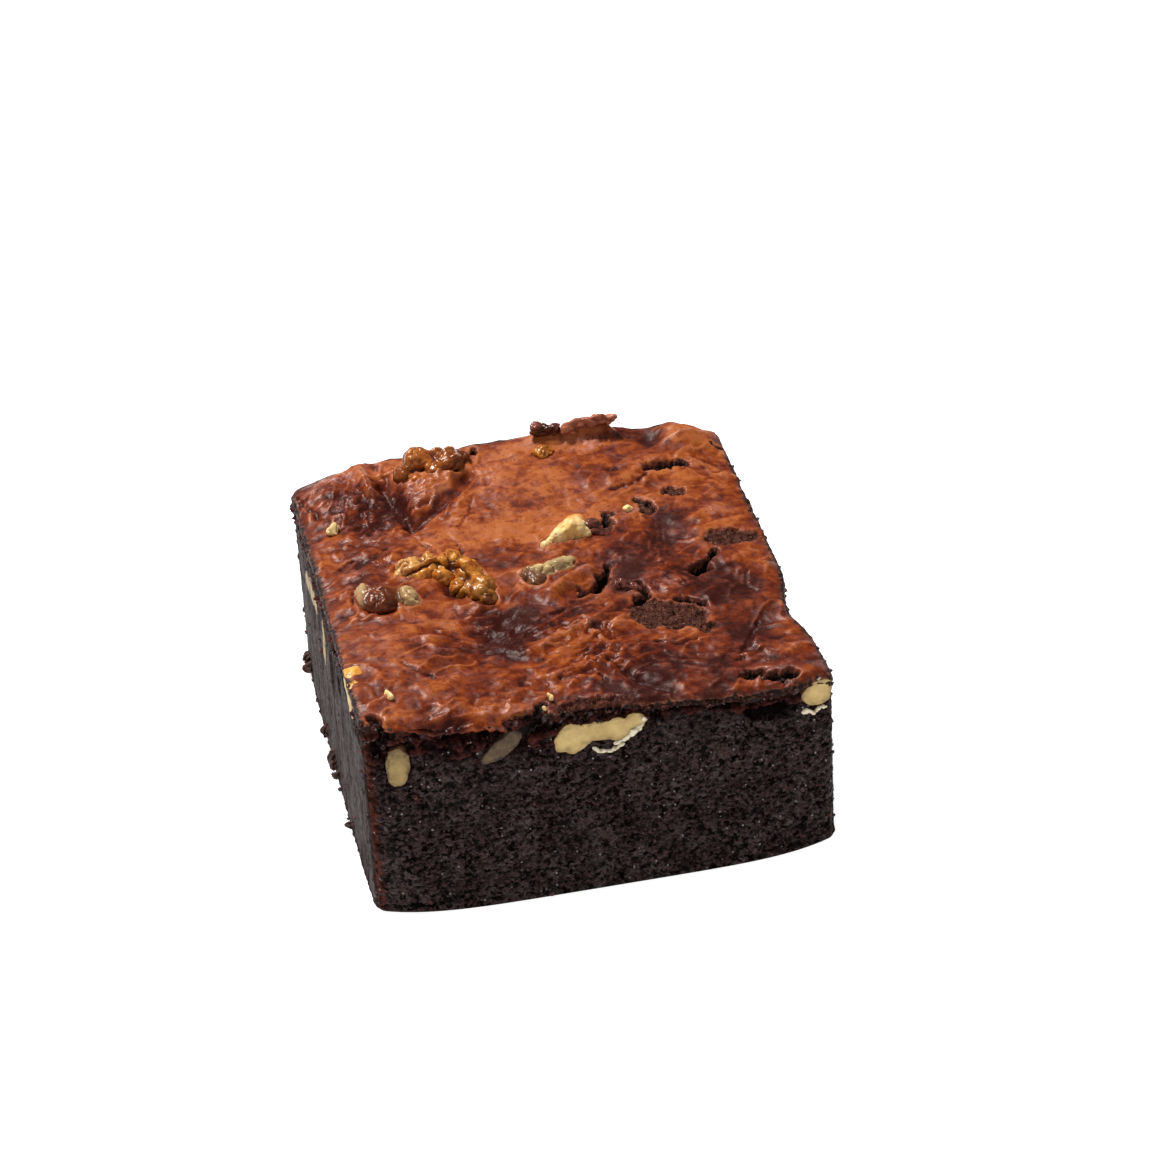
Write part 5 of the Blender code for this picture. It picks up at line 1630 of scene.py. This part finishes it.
# %% The tree that scatters them
def scatter_tree(piece_finish):
    """Geometry nodes that turn a mesh into the crumbs that cling to it."""
    tree = bpy.data.node_groups.new("clinging crumbs", "GeometryNodeTree")
    tree.interface.new_socket("Mesh", in_out="INPUT", socket_type="NodeSocketGeometry")
    density = tree.interface.new_socket("Density", in_out="INPUT", socket_type="NodeSocketFloat")
    smallest = tree.interface.new_socket("Smallest", in_out="INPUT", socket_type="NodeSocketFloat")
    largest = tree.interface.new_socket("Largest", in_out="INPUT", socket_type="NodeSocketFloat")
    tree.interface.new_socket("Crumbs", in_out="OUTPUT", socket_type="NodeSocketGeometry")
    given = tree.nodes.new("NodeGroupInput").outputs
    shed = add_node(tree, "GeometryNodeInputNamedAttribute", {"Name": "shed"}, data_type="FLOAT")
    amount = product(tree, shed.outputs["Attribute"], given["Density"])
    points = add_node(tree, "GeometryNodeDistributePointsOnFaces",
                      {"Mesh": given["Mesh"], "Density": amount, "Seed": 7}, distribute_method="RANDOM")
    ball = add_node(tree, "GeometryNodeMeshIcoSphere", {"Radius": 1.0, "Subdivisions": 2})
    size = add_node(tree, "FunctionNodeRandomValue", {"Seed": 8}, data_type="FLOAT")
    tree.links.new(given["Smallest"], size.inputs[2])
    tree.links.new(given["Largest"], size.inputs[3])
    turn = add_node(tree, "FunctionNodeRandomValue", {0: (0, 0, 0), 1: FULL_TURN, "Seed": 9},
                    data_type="FLOAT_VECTOR")
    placed = add_node(tree, "GeometryNodeInstanceOnPoints", {
        "Points": points.outputs["Points"], "Instance": ball.outputs["Mesh"],
        "Rotation": turn.outputs[0], "Scale": size.outputs[1],
    })
    real = add_node(tree, "GeometryNodeRealizeInstances", {"Geometry": placed.outputs["Instances"]})
    noise = add_node(tree, "ShaderNodeTexNoise", {"Scale": 2200.0, "Detail": 2.0})
    push = add_node(tree, "ShaderNodeVectorMath", {0: noise.outputs["Color"], 1: (0.5, 0.5, 0.5)},
                    operation="SUBTRACT")
    push = add_node(tree, "ShaderNodeVectorMath", {0: push.outputs[0], "Scale": CRUMB_UNEVENNESS * MM},
                    operation="SCALE")
    moved = add_node(tree, "GeometryNodeSetPosition",
                     {"Geometry": real.outputs["Geometry"], "Offset": push.outputs[0]})
    painted = add_node(tree, "GeometryNodeSetMaterial",
                       {"Geometry": moved.outputs["Geometry"], "Material": piece_finish})
    done = tree.nodes.new("NodeGroupOutput")
    tree.links.new(painted.outputs["Geometry"], done.inputs["Crumbs"])
    return tree, density.identifier, smallest.identifier, largest.identifier


print("at most", CRUMBS_PER_SQUARE_MM, "crumbs on a square millimetre")


# %% The clinging crumbs as a piece
def crumbs_finish():
    material, tree, shader, place = new_finish("clinging crumbs")
    grain = noise_texture(tree, place, 0.5, 3.0, 0.6)
    broad = remapped(tree, noise_texture(tree, place, 3.0, 2.0, 0.5), 0.50, 0.66)
    colour = mix_colours(tree, remapped(tree, grain, 0.35, 0.65), CRUMB_DARK, CRUMB_BROWN)
    colour = mix_colours(tree, broad, colour, RUSTY_CRUMB)
    tree.links.new(colour, shader.inputs["Base Color"])
    shader.inputs["Roughness"].default_value = 0.55
    shader.inputs["Specular IOR Level"].default_value = 0.25
    return material


def scatter_crumbs(source):
    """A plain mesh of the crumbs that cling to the walls of the source."""
    mesh = source.data.copy()
    places = np.empty(len(mesh.vertices) * 3)
    mesh.vertices.foreach_get("co", places)
    share = shed_share(places.reshape(-1, 3) / MM)
    mesh.attributes.new("shed", "FLOAT", "POINT").data.foreach_set("value", share.astype(np.float32))
    carrier = bpy.data.objects.new("carrier", mesh)
    bpy.context.scene.collection.objects.link(carrier)
    tree, density, smallest, largest = scatter_tree(crumbs_finish())
    scatter = carrier.modifiers.new("Scatter", "NODES")
    scatter.node_group = tree
    scatter[density] = CRUMBS_PER_SQUARE_MM * 1.0 / MM ** 2
    scatter[smallest], scatter[largest] = SMALLEST_CRUMB * MM, LARGEST_CRUMB * MM
    result = bpy.data.meshes.new_from_object(carrier.evaluated_get(bpy.context.evaluated_depsgraph_get()))
    bpy.data.objects.remove(carrier)
    places = np.empty(len(result.vertices) * 3)
    result.vertices.foreach_get("co", places)
    places[2::3] = np.maximum(places[2::3], 0.0)
    result.vertices.foreach_set("co", places)
    result.name = "clinging_crumbs"
    made = bpy.data.objects.new("clinging_crumbs", result)
    bpy.context.scene.collection.objects.link(made)
    return made


clinging = scatter_crumbs(crumb)
print("crumbs:", len(clinging.data.polygons), "faces")

# %% [markdown]
# ## The table and the light
# The brownie stands on a plain white table. The table gives a little light of its own, so that it stays
# white right up to the foot, as on a lit product table. One soft lamp hangs high behind the brownie and a
# little to the left. Its reflection makes the bright spots on the sugar skin. The room is a soft grey
# that is darker towards the back, so that the skin doesn't turn milky.

# %% The table
TABLE_HALF = 3.0
TABLE_GREY, TABLE_GLOW = (0.60, 0.60, 0.60, 1.0), 0.88
WHITE = (1.0, 1.0, 1.0, 1.0)
corners = [(-TABLE_HALF, -TABLE_HALF, 0), (TABLE_HALF, -TABLE_HALF, 0),
           (TABLE_HALF, TABLE_HALF, 0), (-TABLE_HALF, TABLE_HALF, 0)]
floor_mesh = bpy.data.meshes.new("white table")
floor_mesh.from_pydata(corners, [], [(0, 1, 2, 3)])
floor = bpy.data.objects.new("white table", floor_mesh)
bpy.context.scene.collection.objects.link(floor)
floor_finish = bpy.data.materials.new("white table")
floor_finish.use_nodes = True
floor_shader = floor_finish.node_tree.nodes["Principled BSDF"]
floor_shader.inputs["Base Color"].default_value = TABLE_GREY
floor_shader.inputs["Roughness"].default_value = 0.9
floor_shader.inputs["Emission Color"].default_value = WHITE
floor_shader.inputs["Emission Strength"].default_value = TABLE_GLOW
floor_mesh.materials.append(floor_finish)
print("table:", 2 * TABLE_HALF, "m wide")

# %% The light
ROOM_IN_FRONT, ROOM_BEHIND = 0.40, 0.15
LAMP_PLACE, LAMP_AIM = (-0.23, 0.42, 0.84), (0, 0, 0.03)
LAMP_SIZE, LAMP_POWER = 0.25, 12.8
world = bpy.data.worlds.new("studio")
bpy.context.scene.world = world
world.use_nodes = True
room = world.node_tree
background = room.nodes["Background"]
direction = add_node(room, "ShaderNodeTexCoord").outputs["Generated"]
towards_back = add_node(room, "ShaderNodeSeparateXYZ", {"Vector": direction}).outputs["Y"]
brightness = remapped(room, towards_back, -0.5, 0.8, ROOM_IN_FRONT, ROOM_BEHIND)
room.links.new(brightness, background.inputs["Strength"])
background.inputs["Color"].default_value = WHITE


def softbox(name, place, aim, size, power):
    """A square lamp that shines from a place towards an aim, all in metres."""
    light = bpy.data.lights.new(name, "AREA")
    light.shape, light.size, light.energy = "SQUARE", size, power
    lamp = bpy.data.objects.new(name, light)
    lamp.location = place
    lamp.rotation_euler = (Vector(aim) - Vector(place)).to_track_quat("-Z", "Y").to_euler()
    bpy.context.scene.collection.objects.link(lamp)
    return lamp


lamp = softbox("top softbox", LAMP_PLACE, LAMP_AIM, LAMP_SIZE, LAMP_POWER)
bpy.context.scene.view_settings.view_transform = "Standard"
print("lamp at", tuple(round(c, 2) for c in lamp.location))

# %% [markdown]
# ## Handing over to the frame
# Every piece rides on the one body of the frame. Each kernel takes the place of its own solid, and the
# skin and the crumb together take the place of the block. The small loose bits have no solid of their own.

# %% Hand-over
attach(clinging, "root")
for piece in (crust, crumb):
    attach(piece, "root")
    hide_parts("brownie_block")
for name, piece in kernels.items():
    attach(piece, "root")
    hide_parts(name)
for piece in trimmings:
    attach(piece, "root")
